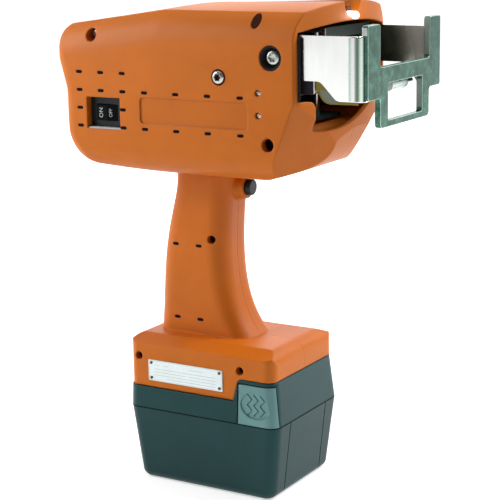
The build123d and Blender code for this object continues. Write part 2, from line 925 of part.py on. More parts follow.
def halves(shell):
    """The shell parted on the plane Y = 0 into its right and left halves."""
    reach = 2 * head_half_width
    low = base_bottom_z - overrun
    high = head_crown_z + overrun
    right = shell & block(head_rear_x - overrun, nose_tip_x + overrun, -reach, 0, low, high)
    left = shell & block(head_rear_x - overrun, nose_tip_x + overrun, 0, reach, low, high)
    return right, left


def make_housing_screws():
    """Clamshell screws, each with a button head sunk in its counterbore."""
    screws = []
    for x, z, outer_y, sink, head, recess, boss in screw_places():
        seat = outer_y + sink
        screw = rod_y(seat - screw_head_height, seat, x, z, head)
        screw = fillet(screw.edges().group_by(Axis.Y)[0], screw_head_height * round_share)
        face = Plane.XZ.offset(screw_head_height - seat) * Pos(x, z)
        socket = face * RegularPolygon(head * socket_share, socket_sides)
        screw -= extrude(socket, amount=-screw_head_height / 2)
        screws.append(screw + rod_y(seat, seat + screw_length, x, z, screw_shank_radius))
    return Compound(children=screws)


def switch_body_size():
    """Width and height of the power switch's body behind its bezel."""
    width = pocket_right_x - pocket_left_x - 2 * bezel_lip - 2 * bezel_clearance
    height = pocket_high_z - pocket_low_z - 2 * bezel_lip - 2 * bezel_clearance
    return width, height


def make_switch_frame():
    """The power switch's bezel, hollow body and tabs."""
    width, height = switch_body_size()
    front = pocket_floor_y - bezel_height
    bezel = block(pocket_left_x + bezel_clearance, pocket_right_x - bezel_clearance, front, pocket_floor_y,
                  pocket_low_z + bezel_clearance, pocket_high_z - bezel_clearance)
    body = block(switch_x - width / 2, switch_x + width / 2,
                 pocket_floor_y, pocket_floor_y + switch_body_depth,
                 switch_z - height / 2, switch_z + height / 2)
    well = block(switch_x - width / 2 + pocket_wall, switch_x + width / 2 - pocket_wall,
                 front - overrun, pocket_floor_y + switch_body_depth / 2,
                 switch_z - height / 2 + pocket_wall, switch_z + height / 2 - pocket_wall)
    frame = bezel + body - well
    reach = height / 2 - pocket_wall + rocker_pivot_length + slip
    frame -= rod_z(switch_z - reach, switch_z + reach, switch_x, pocket_floor_y, rocker_pivot_radius + slip)
    back = pocket_floor_y + switch_body_depth
    for side in (-1, 1):
        x = switch_x + side * width * terminal_tab_share
        frame += block(x - terminal_tab_width / 2, x + terminal_tab_width / 2,
                       back, back + terminal_tab_length,
                       switch_z - terminal_tab_thickness / 2, switch_z + terminal_tab_thickness / 2)
    return frame


def make_rocker():
    """The rocker, with two flat faces that meet over its upright pivot. Its front side rests pressed."""
    width, height = switch_body_size()
    half = width / 2 - pocket_wall - rocker_gap
    front = pocket_floor_y - bezel_height - rocker_rise
    tilt = math.tan(math.radians(rocker_half_angle))
    points = [
        (-half, front + half * tilt),
        (0, front),
        (half, front + half * tilt),
        (half * math.cos(math.radians(rocker_half_angle)), pocket_floor_y + rocker_sink),
        (-half * math.cos(math.radians(rocker_half_angle)), pocket_floor_y + rocker_sink),
    ]
    tall = height - 2 * pocket_wall - 2 * rocker_gap
    profile = make_face(Polyline(*points, close=True))
    rocker = extrude(Plane.XY.offset(switch_z - tall / 2) * profile, amount=tall)
    turn = Pos(0, pocket_floor_y, 0) * Rot(0, 0, rocker_half_angle) * Pos(0, -pocket_floor_y, 0)
    reach = tall / 2 + rocker_gap + rocker_pivot_length
    pivot = rod_z(switch_z - reach, switch_z + reach, 0, pocket_floor_y, rocker_pivot_radius)
    return Pos(switch_x, 0, 0) * (turn * rocker + pivot)


def make_trigger():
    """The domed push button with its stem."""
    rear = boss_front_x - button_guide_length
    front = boss_front_x + button_stick_out
    button = rod_x(rear, front, 0, trigger_z, button_radius)
    button = fillet(button.edges().group_by(Axis.X)[-1], button_dome_rise)
    button += rod_x(rear, rear + button_collar_length, 0, trigger_z, button_collar_radius)
    return button + rod_x(switch_front_x() + button_travel + body_gap, rear, 0, trigger_z, button_stem_radius)


def make_trigger_switch():
    """The micro switch behind the trigger, with its plunger."""
    front = switch_front_x()
    half = trigger_switch_width / 2
    tall = trigger_switch_height / 2
    case = block(front - trigger_switch_length, front, -half, half, trigger_z - tall, trigger_z + tall)
    return case


def make_trigger_spring():
    """Return spring round the trigger's stem."""
    rear = boss_front_x - button_guide_length
    front = switch_front_x()
    spring = coil(trigger_spring_radius, trigger_spring_wire, trigger_spring_turns, rear - front)
    return Pos(front, 0, trigger_z) * Rot(0, 90, 0) * spring


def make_bush(side):
    """A cupped rubber bush that isolates the bracket from the housing."""
    outer = head_half_width - bush_sink
    bush = rod_y(arm_outer_y, outer, bush_x, bush_z, bush_radius)
    bush -= rod_y(arm_outer_y + bush_floor, outer + overrun, bush_x, bush_z, bush_cup_radius)
    bush -= rod_y(arm_outer_y - overrun, outer, bush_x, bush_z, bracket_shank_radius + seat_gap)
    rim = bush.edges().filter_by(GeomType.CIRCLE).sort_by(Axis.Y)[-2:]
    bush = fillet(rim, bush_sink / 2)
    return bush if side > 0 else mirrored(bush)


def make_bracket_screw(side):
    """A screw through the bush into the arm and the chassis."""
    seat = arm_outer_y + bush_floor
    head = rod_y(seat, seat + bracket_head_height, bush_x, bush_z, bracket_head_radius)
    head = fillet(head.edges().group_by(Axis.Y)[-1], bracket_head_height * round_share)
    face = Plane.XZ.offset(-(seat + bracket_head_height)) * Pos(bush_x, bush_z)
    socket = face * RegularPolygon(bracket_head_radius * socket_share, socket_sides)
    head -= extrude(socket, amount=bracket_head_height / 2)
    shank = rod_y(arm_inner_y - sheet - overrun, seat, bush_x, bush_z, bracket_shank_radius)
    screw = head + shank
    return screw if side > 0 else mirrored(screw)


def arm_outline(ledge_z, slope_x):
    """A bracket arm's flat sheet in X and Z, up to its front bend."""
    front = mark_plate_back_x - arm_bend_radius
    points = [
        (arm_rear_x, arm_root_low_z),
        (arm_root_x, arm_root_low_z),
        (arm_ledge_x, ledge_z),
        (slope_x, ledge_z),
        (slope_x + arm_slope_run, arm_tip_low_z),
        (front, arm_tip_low_z),
        (front, arm_top_z),
        (arm_rear_x, arm_top_z),
    ]
    radii = [0, arm_bend_radius, 1.0 * sheet, arm_slope_radius, arm_slope_radius, 0, 0, 0]
    return flat_shape(points, radii)


def make_arm(ledge_z, slope_x):
    """A left arm: flat sheet, rounded front bend and a flange behind the marking plate."""
    arm = side_plate(arm_outline(ledge_z, slope_x), arm_inner_y, arm_outer_y)
    corner_x = mark_plate_back_x - arm_bend_radius
    corner_y = arm_outer_y - arm_bend_radius
    low = arm_tip_low_z
    bend = rod_z(low, arm_top_z, corner_x, corner_y, arm_bend_radius)
    bend -= rod_z(low - overrun, arm_top_z + overrun, corner_x, corner_y, arm_bend_radius - sheet)
    bend = bend & block(corner_x, mark_plate_back_x, corner_y, arm_outer_y, low, arm_top_z)
    flange = block(mark_plate_back_x - sheet, mark_plate_back_x, arm_flange_inner_y, corner_y, low, arm_top_z)
    arm = arm + bend + flange
    return arm - rod_y(arm_inner_y - overrun, arm_outer_y + overrun, bush_x, bush_z,
                       bracket_shank_radius + seat_gap)


def make_liner():
    """A left inner sheet that stiffens the arm and shows below its cut-out."""
    top = arm_top_z - liner_top_gap
    points = [
        (liner_rear_x, liner_step_z),
        (liner_step_x, liner_step_z),
        (liner_step_x + liner_step_radius, liner_low_z),
        (liner_front_x, liner_low_z),
        (liner_front_x, top),
        (liner_rear_x, top),
    ]
    radii = [0, 0, liner_step_radius, 0, 0, 0]
    return side_plate(flat_shape(points, radii), arm_inner_y - liner, arm_inner_y)


def make_marking_plate():
    """The thick front plate with two prongs, a cross bar and a window."""
    right = [
        (prong_inner_y, crossbar_top_z),
        (prong_inner_y, prong_top_z),
        (prong_outer_y, prong_top_z),
        (prong_outer_y, wing_bottom_z),
        (frame_half_width, wing_bottom_z),
        (frame_half_width, frame_bottom_z),
    ]
    left = [(-y, z) for y, z in reversed(right)]
    corner = [plate_inner_radius, plate_outer_radius, plate_outer_radius, plate_outer_radius,
              plate_inner_radius, plate_frame_radius]
    face = flat_shape(right + left, corner + corner[::-1])
    middle = Pos(0, (window_low_z + window_high_z) / 2)
    window = RectangleRounded(2 * window_half_width, window_high_z - window_low_z, window_corner_radius)
    face -= middle * window
    return front_plate_solid(face, mark_plate_back_x, mark_plate_front_x)


def make_chassis():
    """A bent sheet that ties the arms together and carries the stage."""
    side = arm_inner_y
    back = block(chassis_back_x, chassis_back_x + sheet, -side, side, chassis_flange_low_z, chassis_top_z)
    back -= block(chassis_back_x - overrun, chassis_back_x + sheet + overrun, -chassis_window_half_width,
                  chassis_window_half_width, chassis_window_low_z, chassis_window_high_z)
    front = chassis_flange_x
    top = block(chassis_back_x, front, -side, side, chassis_top_z - sheet, chassis_top_z)
    top += block(chassis_back_x, hood_front_x, -hood_right_y, hood_left_y,
                 chassis_top_z - sheet, chassis_top_z)
    top += block(hood_front_x - sheet, hood_front_x, -hood_right_y, hood_left_y, hood_low_z, hood_high_z)
    low = block(chassis_back_x, front, -side, side, chassis_flange_low_z, chassis_flange_low_z + sheet)
    chassis = back + top + low
    for direction in (-1, 1):
        cheek = block(chassis_back_x, chassis_back_x + chassis_side_reach, side - sheet, side,
                      chassis_side_low_z, arm_top_z)
        cheek = cheek if direction > 0 else mirrored(cheek)
        chassis += cheek
    for y in (-guide_y, guide_y):
        chassis -= rod_z(chassis_flange_low_z - overrun, chassis_top_z + overrun, stage_x, y,
                         guide_radius + seat_gap)
    chassis -= rod_z(chassis_flange_low_z - overrun, chassis_top_z + overrun, stage_x, lift_screw_y,
                     lift_screw_radius + slip)
    chassis -= rod_y(-side - overrun, side + overrun, bush_x, bush_z, bracket_shank_radius + seat_gap)
    return chassis


def make_lift_guides():
    """Two upright guide rods."""
    rods = []
    for y in (-guide_y, guide_y):
        rods.append(rod_z(chassis_flange_low_z, chassis_top_z, stage_x, y, guide_radius))
    return Compound(children=rods)


def make_lift_screw():
    """The upright lead screw with its shaft in the motor."""
    return rod_z(chassis_flange_low_z - sheet, chassis_top_z, stage_x, lift_screw_y, lift_screw_radius)


def make_lift_motor():
    """The stepper motor under the chassis, with a bore for the screw's end."""
    half = lift_motor_side / 2
    top = chassis_flange_low_z
    motor = block(stage_x - half, stage_x + half, lift_screw_y - half, lift_screw_y + half,
                  top - lift_motor_height, top)
    motor = chamfer(motor.edges().filter_by(Axis.Z), lift_motor_chamfer)
    return motor - rod_z(top - sheet - slip, top + overrun, stage_x, lift_screw_y, lift_screw_radius + slip)


def beam_low_z():
    """Underside of the climbing beam."""
    return stylus_z - beam_drop


def beam_high_z():
    """Top of the climbing beam."""
    return stylus_z + beam_rise


def cross_guide_heights():
    """Heights of the two cross guides."""
    return stylus_z - cross_guide_offset, stylus_z + cross_guide_offset


def make_lift_carriage():
    """The beam that climbs the upright guides, with an ear at each end for the cross guides."""
    rear = stage_x - beam_depth / 2
    front = stage_x + beam_depth / 2
    low = beam_low_z()
    high = beam_high_z()
    carriage = block(rear, front, -beam_half_width, beam_half_width, low, high)
    ear = block(front, ear_front_x, beam_half_width - ear_thickness, beam_half_width,
                low, stylus_z + ear_rise)
    carriage = carriage + side_pair(ear)
    over = beam_half_width + overrun
    cuts = [rod_z(low - overrun, high + overrun, stage_x, y, guide_bush_radius + seat_gap)
            for y in (-guide_y, guide_y)]
    cuts.append(rod_z(low - overrun, high + overrun, stage_x, lift_screw_y, lift_screw_radius + slip))
    for z in cross_guide_heights():
        cuts.append(rod_y(-over, over, cross_x, z, cross_guide_radius + seat_gap))
    cuts.append(rod_y(-over, over, cross_x, stylus_z, cross_screw_radius + seat_gap))
    return carriage - cuts


def make_barrel():
    """The grey barrel across the stylus nose, with its clamp ring and a groove that the pin runs in."""
    y0 = stylus_y - barrel_half_length
    y1 = stylus_y + barrel_half_length
    barrel = rod_y(y0, y1, barrel_x, barrel_z, barrel_radius)
    for y in (y0, y1 - barrel_rim):
        barrel += rod_y(y, y + barrel_rim, barrel_x, barrel_z, barrel_radius + barrel_rim / 2)
    clamp = rod_x(clamp_rear_x, clamp_front_x, stylus_y, stylus_z, clamp_radius)
    web = block(clamp_rear_x, barrel_x, stylus_y - web_half_width, stylus_y + web_half_width,
                barrel_z, stylus_z)
    end = nozzle_front_x + body_gap
    over = barrel_x + 2 * barrel_radius
    cuts = [
        rod_x(clamp_rear_x - overrun, end, stylus_y, stylus_z, nozzle_radius + seat_gap),
        rod_x(end - overrun, over, stylus_y, stylus_z, pin_radius + slip),
        block(end, over, stylus_y - pin_radius - slip, stylus_y + pin_radius + slip,
              stylus_z, stylus_z + 2 * clamp_radius),
        rod_y(y1 - barrel_rod_seat, y1 + overrun, barrel_x, barrel_z, barrel_rod_radius + seat_gap),
    ]
    return barrel + clamp + web - cuts


def make_barrel_rod():
    """The thin dark rod that stands out of the barrel's left end."""
    y1 = stylus_y + barrel_half_length
    return rod_y(y1 - barrel_rod_seat, y1 + barrel_rod_reach, barrel_x, barrel_z, barrel_rod_radius)


def make_lift_bushes():
    """Plain bearing sleeves in the beam, one on each upright guide."""
    bushes = []
    low = beam_low_z()
    high = beam_high_z()
    for y in (-guide_y, guide_y):
        sleeve = rod_z(low, high, stage_x, y, guide_bush_radius)
        bushes.append(sleeve - rod_z(low - overrun, high + overrun, stage_x, y, guide_radius + slip))
    return Compound(children=bushes)


def make_lift_nut():
    """The nut on the beam that the lead screw drives."""
    low = beam_high_z()
    hexagon = Pos(stage_x, lift_screw_y) * RegularPolygon(lift_nut_radius, socket_sides)
    nut = extrude(Plane.XY.offset(low) * hexagon, amount=lift_nut_height)
    return nut - rod_z(low - overrun, low + lift_nut_height + overrun, stage_x, lift_screw_y,
                       lift_screw_radius + slip)


def make_cross_guides():
    """Two cross guide rods between the beam's ears."""
    rods = [rod_y(-beam_half_width, beam_half_width, cross_x, z, cross_guide_radius)
            for z in cross_guide_heights()]
    return Compound(children=rods)


def make_cross_screw():
    """The fixed cross screw that the riding motor climbs along."""
    return rod_y(-beam_half_width, beam_half_width, cross_x, stylus_z, cross_screw_radius)


def make_rider():
    """The lateral carriage round the cross guides, with a room for its motor."""
    y0 = stylus_y - rider_half_width
    y1 = stylus_y + rider_half_width
    rider = block(rider_rear_x, rider_front_x, y0, y1,
                  stylus_z - rider_half_height, stylus_z + rider_half_height)
    rider = chamfer(rider.edges().filter_by(Axis.Y), rider_chamfer)
    tall = rider_motor_side / 2
    deep = rider_motor_depth / 2
    cuts = [rod_y(y0 - overrun, y1 + overrun, cross_x, z, rider_bush_radius + seat_gap)
            for z in cross_guide_heights()]
    cuts.append(block(cross_x - deep, cross_x + deep, y0 - overrun, y1 + overrun,
                      stylus_z - tall, stylus_z + tall))
    return rider - cuts


def make_rider_bushes():
    """Sleeves in the lateral carriage."""
    bushes = []
    y0 = stylus_y - rider_half_width
    y1 = stylus_y + rider_half_width
    for z in cross_guide_heights():
        sleeve = rod_y(y0, y1, cross_x, z, rider_bush_radius)
        bushes.append(sleeve - rod_y(y0 - overrun, y1 + overrun, cross_x, z, cross_guide_radius + slip))
    return Compound(children=bushes)


def make_rider_motor():
    """The hollow motor that rides along the cross screw."""
    tall = rider_motor_side / 2
    deep = rider_motor_depth / 2
    y0 = stylus_y - rider_half_width
    y1 = stylus_y + rider_half_width
    motor = block(cross_x - deep, cross_x + deep, y0, y1, stylus_z - tall, stylus_z + tall)
    return motor - rod_y(y0 - overrun, y1 + overrun, cross_x, stylus_z, cross_screw_radius + slip)


def make_solenoid():
    """The solenoid's can, open inside for the armature."""
    can = rod_x(rider_front_x, solenoid_front_x, stylus_y, stylus_z, solenoid_radius)
    can = chamfer(can.edges().group_by(Axis.X)[-1], solenoid_wall / 2)
    can -= rod_x(rider_front_x + solenoid_wall, solenoid_front_x - solenoid_wall, stylus_y, stylus_z,
                 armature_radius + slip)
    return can - rod_x(rider_front_x + solenoid_wall, solenoid_front_x + overrun, stylus_y, stylus_z,
                       pin_radius + slip)


def make_nozzle():
    """The grey nose that guides the marking pin."""
    x0 = solenoid_front_x
    profile = [
        (0, 0),
        (solenoid_radius - solenoid_wall, 0),
        (nozzle_radius, nozzle_shoulder),
        (nozzle_radius, nozzle_length - pin_radius),
        (nozzle_radius - pin_radius, nozzle_length),
        (0, nozzle_length),
    ]
    flat = make_face(Polyline(*profile, close=True))
    nose = Pos(x0, stylus_y, stylus_z) * Rot(0, 90, 0) * revolve(Plane.XZ * flat, axis=Axis.Z)
    return nose - rod_x(x0 - overrun, nozzle_front_x + overrun, stylus_y, stylus_z, pin_radius + slip)


def armature_front_x():
    """Front of the armature at rest."""
    return rider_front_x + solenoid_wall + armature_length + body_gap


def make_pin():
    """The marking pin with its armature and point."""
    front = armature_front_x()
    armature = rod_x(front - armature_length, front, stylus_y, stylus_z, armature_radius)
    shank = rod_x(front, pin_tip_x - pin_point_length, stylus_y, stylus_z, pin_radius)
    point = Cone(pin_radius, pin_point_radius, pin_point_length)
    point = Pos(pin_tip_x - pin_point_length / 2, stylus_y, stylus_z) * Rot(0, 90, 0) * point
    return armature + shank + point


def make_pin_spring():
    """Return spring between the armature and the can's front."""
    front = armature_front_x()
    room = solenoid_front_x - solenoid_wall - front
    spring = coil(pin_spring_radius, pin_spring_wire, pin_spring_turns, room)
    return Pos(front, stylus_y, stylus_z) * Rot(0, 90, 0) * spring


def make_light():
    """The sight light's clear dome."""
    lens = rod_x(light_holder_front_x - light_stick_out, light_holder_front_x + light_stick_out, 0, light_z,
                 light_radius)
    return fillet(lens.edges().group_by(Axis.X)[-1], light_radius * light_dome_share)


def make_light_holder():
    """The sleeve that holds the light in the groove's end."""
    rear = light_holder_front_x - light_holder_length
    holder = rod_x(rear, light_holder_front_x, 0, light_z, light_holder_radius)
    return holder - rod_x(light_holder_front_x - light_stick_out, light_holder_front_x + overrun, 0, light_z,
                          light_radius + seat_gap)


def make_board():
    """The control board on its four posts."""
    return block(board_rear_x, board_front_x, board_y, board_y + board_thickness, board_low_z, board_high_z)


def make_board_parts():
    """Chips, capacitors and connectors on the control board."""
    pieces = []
    middle = (board_rear_x + board_front_x) / 2
    z = (board_low_z + board_high_z) / 2
    for step in (-1, 0, 1):
        x = middle + step * 2 * chip_side
        pieces.append(block(x - chip_side / 2, x + chip_side / 2, board_y - chip_height, board_y,
                            z - chip_side / 2, z + chip_side / 2))
    for step in (-1, 1):
        x = middle + step * chip_side
        high = board_high_z - board_post_inset - capacitor_radius
        pieces.append(rod_y(board_y - capacitor_height, board_y, x, high, capacitor_radius))
        low = board_low_z + board_post_inset
        pieces.append(block(x - connector_length / 2, x + connector_length / 2,
                            board_y - connector_height, board_y, low, low + connector_width))
    return Compound(children=pieces)


def make_nameplate():
    """The blank metal plate on the base."""
    middle = Pos((plate_left_x + plate_right_x) / 2, (plate_low_z + plate_high_z) / 2)
    face = RectangleRounded(plate_right_x - plate_left_x, plate_high_z - plate_low_z, plate_corner_radius)
    plate = side_plate(middle * face, -base_half_width - plate_thickness, -base_half_width)
    for x, z in rivet_places():
        plate -= rod_y(-base_half_width - plate_thickness - overrun, -base_half_width + overrun, x, z,
                       rivet_radius / 2 + seat_gap)
    return plate


def rivet_places():
    """Centres of the nameplate's four rivets."""
    places = []
    for x in (plate_left_x + rivet_inset_x, plate_right_x - rivet_inset_x):
        for z in (plate_low_z + rivet_inset_z, plate_high_z - rivet_inset_z):
            places.append((x, z))
    return places


def make_rivets():
    """Domed rivets that hold the nameplate."""
    rivets = []
    outer = -base_half_width - plate_thickness
    for x, z in rivet_places():
        head = rod_y(outer - rivet_rise, outer, x, z, rivet_radius)
        head = fillet(head.edges().group_by(Axis.Y)[0], rivet_rise / 2)
        rivets.append(head + rod_y(outer, -base_half_width, x, z, rivet_radius / 2))
    return Compound(children=rivets)


def pack_section(z):
    """The pack's outline at a height, in plan."""
    if z <= pack_seam_z:
        share = z / pack_seam_z
        length = pack_foot_half_length + share * (pack_half_length - pack_foot_half_length)
        width = pack_foot_half_width + share * (pack_half_width - pack_foot_half_width)
        return rounded_block(-length, length, width, pack_corner_radius)
    share = (z - pack_seam_z) / (base_front_bottom_z - pack_seam_z)
    front = pack_half_length + share * (pack_top_front_x - pack_half_length)
    width = pack_half_width + share * (pack_top_half_width - pack_half_width)
    return rounded_block(-pack_half_length, front, width, pack_corner_radius)


def pack_form(low, high):
    """The pack's outer form between two heights."""
    faces = [Plane.XY.offset(z) * pack_section(z) for z in (low, high)]
    return loft(faces, ruled=True)


def cell_room(front, low, high):
    """The pack's hollow between two heights, up to its front face."""
    half_x = cell_columns * cell_pitch / 2 + body_gap
    half_y = cell_length / 2 + end_plate_thickness + body_gap
    return block(-half_x, front + body_gap, -half_y, half_y, low, high)


def full_row_front():
    """Front end of a full row of cells."""
    return cell_columns * cell_pitch / 2


def top_row_front():
    """Front end of the short top row of cells."""
    return full_row_front() - (cell_columns * cell_layers - cell_count) * cell_pitch


def make_pack_lower():
    """The pack's lower shell, with rounded foot and grooves on its front."""
    shell = pack_form(0, pack_seam_z)
    shell = fillet(shell.faces().sort_by(Axis.Z)[0].edges(), pack_foot_edge_radius)
    shell -= cell_room(full_row_front(), pack_floor, pack_seam_z + overrun)
    lean = (pack_half_length - pack_foot_half_length) / pack_seam_z
    for y in (-pack_groove_y, pack_groove_y):
        groove = block(-pack_groove_depth, overrun, y - pack_groove_width / 2, y + pack_groove_width / 2,
                       0, pack_seam_z)
        angle = math.degrees(math.atan(lean))
        shell -= Pos(pack_foot_half_length, 0, 0) * Rot(0, angle, 0) * groove
    return shell


def cell_top_z():
    """Top of the highest layer of cells."""
    return pack_floor + 2 * cell_radius + (cell_layers - 1) * cell_layer_pitch + body_gap


def tongue_top_z():
    """Top of the pack's tongue."""
    return base_bottom_z + rail_height + body_gap + tongue_head_thickness


def make_pack_upper():
    """The pack's upper shell: raised front, sunk rails and tongue, and a pocket for each latch."""
    low = pack_seam_z
    deck = base_bottom_z - body_gap
    high = base_front_bottom_z - pack_top_gap
    form = pack_form(low, base_front_bottom_z)
    form = form & block(-pack_half_length - overrun, pack_half_length + overrun, -2 * pack_half_width,
                        2 * pack_half_width, low, high)
    front = side_plate(step_outline(pack_top_gap, deck - overrun), -2 * pack_half_width, 2 * pack_half_width)
    shell = (form & block(-pack_half_length - overrun, pack_half_length + overrun, -2 * pack_half_width,
                          2 * pack_half_width, low, deck)) + (form & front)
    channel = base_half_width - wall - overrun
    neck = channel - rail_reach - body_gap
    neck_top = base_bottom_z + rail_height + body_gap
    head_top = tongue_top_z()
    join = base_step_x + base_step_slant + base_step_radius
    tongue = block(tongue_rear_x, join, -neck, neck, deck - overrun, head_top)
    tongue += block(tongue_rear_x, join, -channel + body_gap, channel - body_gap, neck_top, head_top)
    shell += tongue
    shell -= cell_room(top_row_front(), low - overrun, cell_top_z())
    shell -= block(-pack_board_half_length - body_gap, top_row_front(), -pack_board_half_width - body_gap,
                   pack_board_half_width + body_gap, low, cell_top_z() + pack_board_thickness)
    for index in range(blade_count):
        y = (index - (blade_count - 1) / 2) * blade_pitch
        shell -= block(tongue_rear_x - overrun, blade_front_x + overrun, y - terminal_slot_width / 2,
                       y + terminal_slot_width / 2, head_top - blade_height - body_gap, head_top + overrun)
    pocket = latch_pocket() + hook_room()
    return shell - pocket - mirrored(pocket)


def corner_wedge(radius, angle, low, high):
    """A round sector about the right latch's pivot, from the side face round to the front."""
    ring = rod_z(low, high, pack_corner_x, -pack_corner_y, radius)
    far = pack_half_length
    cut = Pos(pack_corner_x, -pack_corner_y, 0) * Rot(0, 0, -angle) * block(-far, far, 0, far, low, high)
    return ring - cut


def hook_low_z():
    """Underside of the latch's hook."""
    return base_bottom_z + rail_height + 2 * body_gap


def make_hook():
    """The right latch's arm, with a tooth that stands behind a shoulder in the skirt."""
    low = hook_low_z()
    high = low + hook_height
    outer = hook_inner_y + hook_thickness
    arm = block(hook_rear_x, hook_front_x, -outer, -hook_inner_y, low, high)
    stem = block(latch_rear_x, hook_front_x,
                 -pack_half_width + latch_thickness - overrun, -hook_inner_y, low, high)
    tooth = block(hook_rear_x, hook_rear_x + hook_tooth_length, -hook_tooth_y, -hook_inner_y, low, high)
    return arm + stem + tooth


def hook_room():
    """Room in the tongue for the right hook and its swing."""
    low = hook_low_z() - body_gap
    return block(hook_rear_x - latch_gap, hook_front_x + latch_gap,
                 -base_half_width, -hook_inner_y + hook_swing, low, base_front_bottom_z)


def hook_notch():
    """The groove inside the right skirt that the tooth slides into and springs out in."""
    low = hook_low_z() - body_gap
    return block(hook_rear_x - latch_gap, base_front_x, -hook_tooth_y - body_gap, -hook_inner_y,
                 low, low + hook_height + 2 * body_gap)


def latch_pocket():
    """Room for the right latch and its swing."""
    low = pack_seam_z - overrun
    high = latch_top_z + latch_gap
    over = pack_half_width + overrun
    room = block(latch_rear_x - latch_gap, pack_corner_x, -over, -latch_pocket_y, low, high)
    angle = latch_face_angle - math.degrees(pack_top_gap / pack_corner_radius)
    sector = corner_wedge(pack_corner_radius * 2, angle, low, high)
    sector = sector & block(pack_corner_x - overrun, pack_half_length + overrun, -over, 0, low, high)
    hub = rod_z(low, high, pack_corner_x, -pack_corner_y, latch_hub_radius + body_gap)
    return room + sector + hub


def make_latch():
    """The right latch button: a plate that wraps the pack's corner, with a hub, dimple and zigzag grooves."""
    low = pack_seam_z + body_gap
    form = pack_form(pack_seam_z, base_front_bottom_z)
    form = form & block(-pack_half_length, pack_half_length, -pack_half_width, 0, low, latch_top_z)
    plate = block(latch_rear_x, pack_corner_x, -pack_half_width, -pack_half_width + latch_thickness,
                  low, latch_top_z)
    sector = corner_wedge(pack_corner_radius * 2, latch_face_angle, low, latch_top_z)
    sector = sector & block(pack_corner_x, pack_half_length, -pack_half_width, 0, low, latch_top_z)
    latch = form & (plate + sector)
    latch += rod_z(low, latch_top_z, pack_corner_x, -pack_corner_y, latch_hub_radius) + make_hook()
    latch -= rod_z(low - overrun, latch_top_z + overrun, pack_corner_x, -pack_corner_y,
                   latch_pin_radius + slip)
    face_y = latch_face_y()
    dimple = Pos(latch_dimple_x, latch_dimple_z) * Ellipse(latch_dimple_width / 2, latch_dimple_height / 2)
    latch -= side_plate(dimple, -pack_half_width - overrun, face_y + latch_dimple_depth)
    for index in range(zigzag_count):
        latch -= zigzag(index, face_y)
    return latch


def latch_face_y():
    """The right latch's outer face at the height of its dimple."""
    share = (latch_dimple_z - pack_seam_z) / (base_front_bottom_z - pack_seam_z)
    return -pack_half_width - share * (pack_top_half_width - pack_half_width)


def zigzag(index, face_y):
    """One zigzag groove in the latch's dimple."""
    x = latch_dimple_x + (index - (zigzag_count - 1) / 2) * zigzag_pitch - zigzag_step_x / 2
    points = []
    for step in range(zigzag_bends + 1):
        z = latch_dimple_z + (step - zigzag_bends / 2) * zigzag_step_z
        points.append((x + (step % 2) * zigzag_step_x, z))
    groove = Part()
    for start, end in zip(points, points[1:]):
        dx = end[0] - start[0]
        dz = end[1] - start[1]
        middle = Pos((start[0] + end[0]) / 2, (start[1] + end[1]) / 2)
        turn = Rot(0, 0, math.degrees(math.atan2(dz, dx)))
        line = middle * turn * Rectangle(math.hypot(dx, dz), zigzag_width)
        groove += side_plate(line, -pack_half_width - overrun, face_y + 2 * latch_dimple_depth)
    return groove


def make_latch_pins():
    """Upright pivot pins of the two latches."""
    pin = rod_z(pack_seam_z, latch_top_z + latch_gap, pack_corner_x, -pack_corner_y, latch_pin_radius)
    return Compound(children=[pin, mirrored(pin)])


def make_latch_spring():
    """The right latch's return spring."""
    room = pack_half_width - latch_thickness - latch_pocket_y
    spring = coil(latch_spring_radius, latch_spring_wire, latch_spring_turns, room)
    x = latch_rear_x + latch_hub_radius
    return Pos(x, -latch_pocket_y, latch_dimple_z) * Rot(90, 0, 0) * spring


def make_cells():
    """Round cells across the pack, in layers."""
    cells = []
    for index in range(cell_count):
        layer = index // cell_columns
        column = index % cell_columns
        x = (column - (cell_columns - 1) / 2) * cell_pitch
        z = pack_floor + cell_radius + layer * cell_layer_pitch
        cells.append(rod_y(-cell_length / 2, cell_length / 2, x, z, cell_radius))
    return Compound(children=cells)


def make_cell_plates():
    """Stepped end plates that tie the cells together."""
    half = full_row_front()
    outer = cell_length / 2 + end_plate_thickness
    step = cell_top_z() - body_gap - cell_layer_pitch
    plate = block(-half, half, cell_length / 2, outer, pack_floor, step)
    plate += block(-half, top_row_front(), cell_length / 2, outer, pack_floor, step + cell_layer_pitch)
    return Compound(children=[plate, mirrored(plate)])


def make_pack_board():
    """The pack's circuit board on top of the cells."""
    low = cell_top_z()
    return block(-pack_board_half_length, top_row_front() - body_gap,
                 -pack_board_half_width, pack_board_half_width, low, low + pack_board_thickness)


def make_receptacles():
    """Spring clips in the tongue's slots, a pair of leaves for each blade."""
    clips = []
    top = tongue_top_z()
    low = top - blade_height - body_gap
    for index in range(blade_count):
        y = (index - (blade_count - 1) / 2) * blade_pitch
        for side in (-1, 1):
            outer = y + side * terminal_slot_width / 2
            inner = outer - side * clip_thickness
            clips.append(block(blade_front_x - clip_length, blade_front_x + overrun, min(outer, inner),
                               max(outer, inner), low, top - clip_thickness))
    return Compound(children=clips)


def make_terminal_block():
    """The block under the base's deck that carries the blades."""
    return block(blade_rear_x - terminal_block_overhang, blade_front_x + terminal_block_overhang,
                 -terminal_block_half_width, terminal_block_half_width,
                 deck_z - terminal_block_height, deck_z)


def make_blades():
    """Contact blades that enter the pack's slots."""
    top = deck_z - terminal_block_height
    blades = []
    for index in range(blade_count):
        y = (index - (blade_count - 1) / 2) * blade_pitch
        blades.append(block(blade_rear_x, blade_front_x, y - blade_thickness / 2, y + blade_thickness / 2,
                            top - blade_height, top))
    return Compound(children=blades)


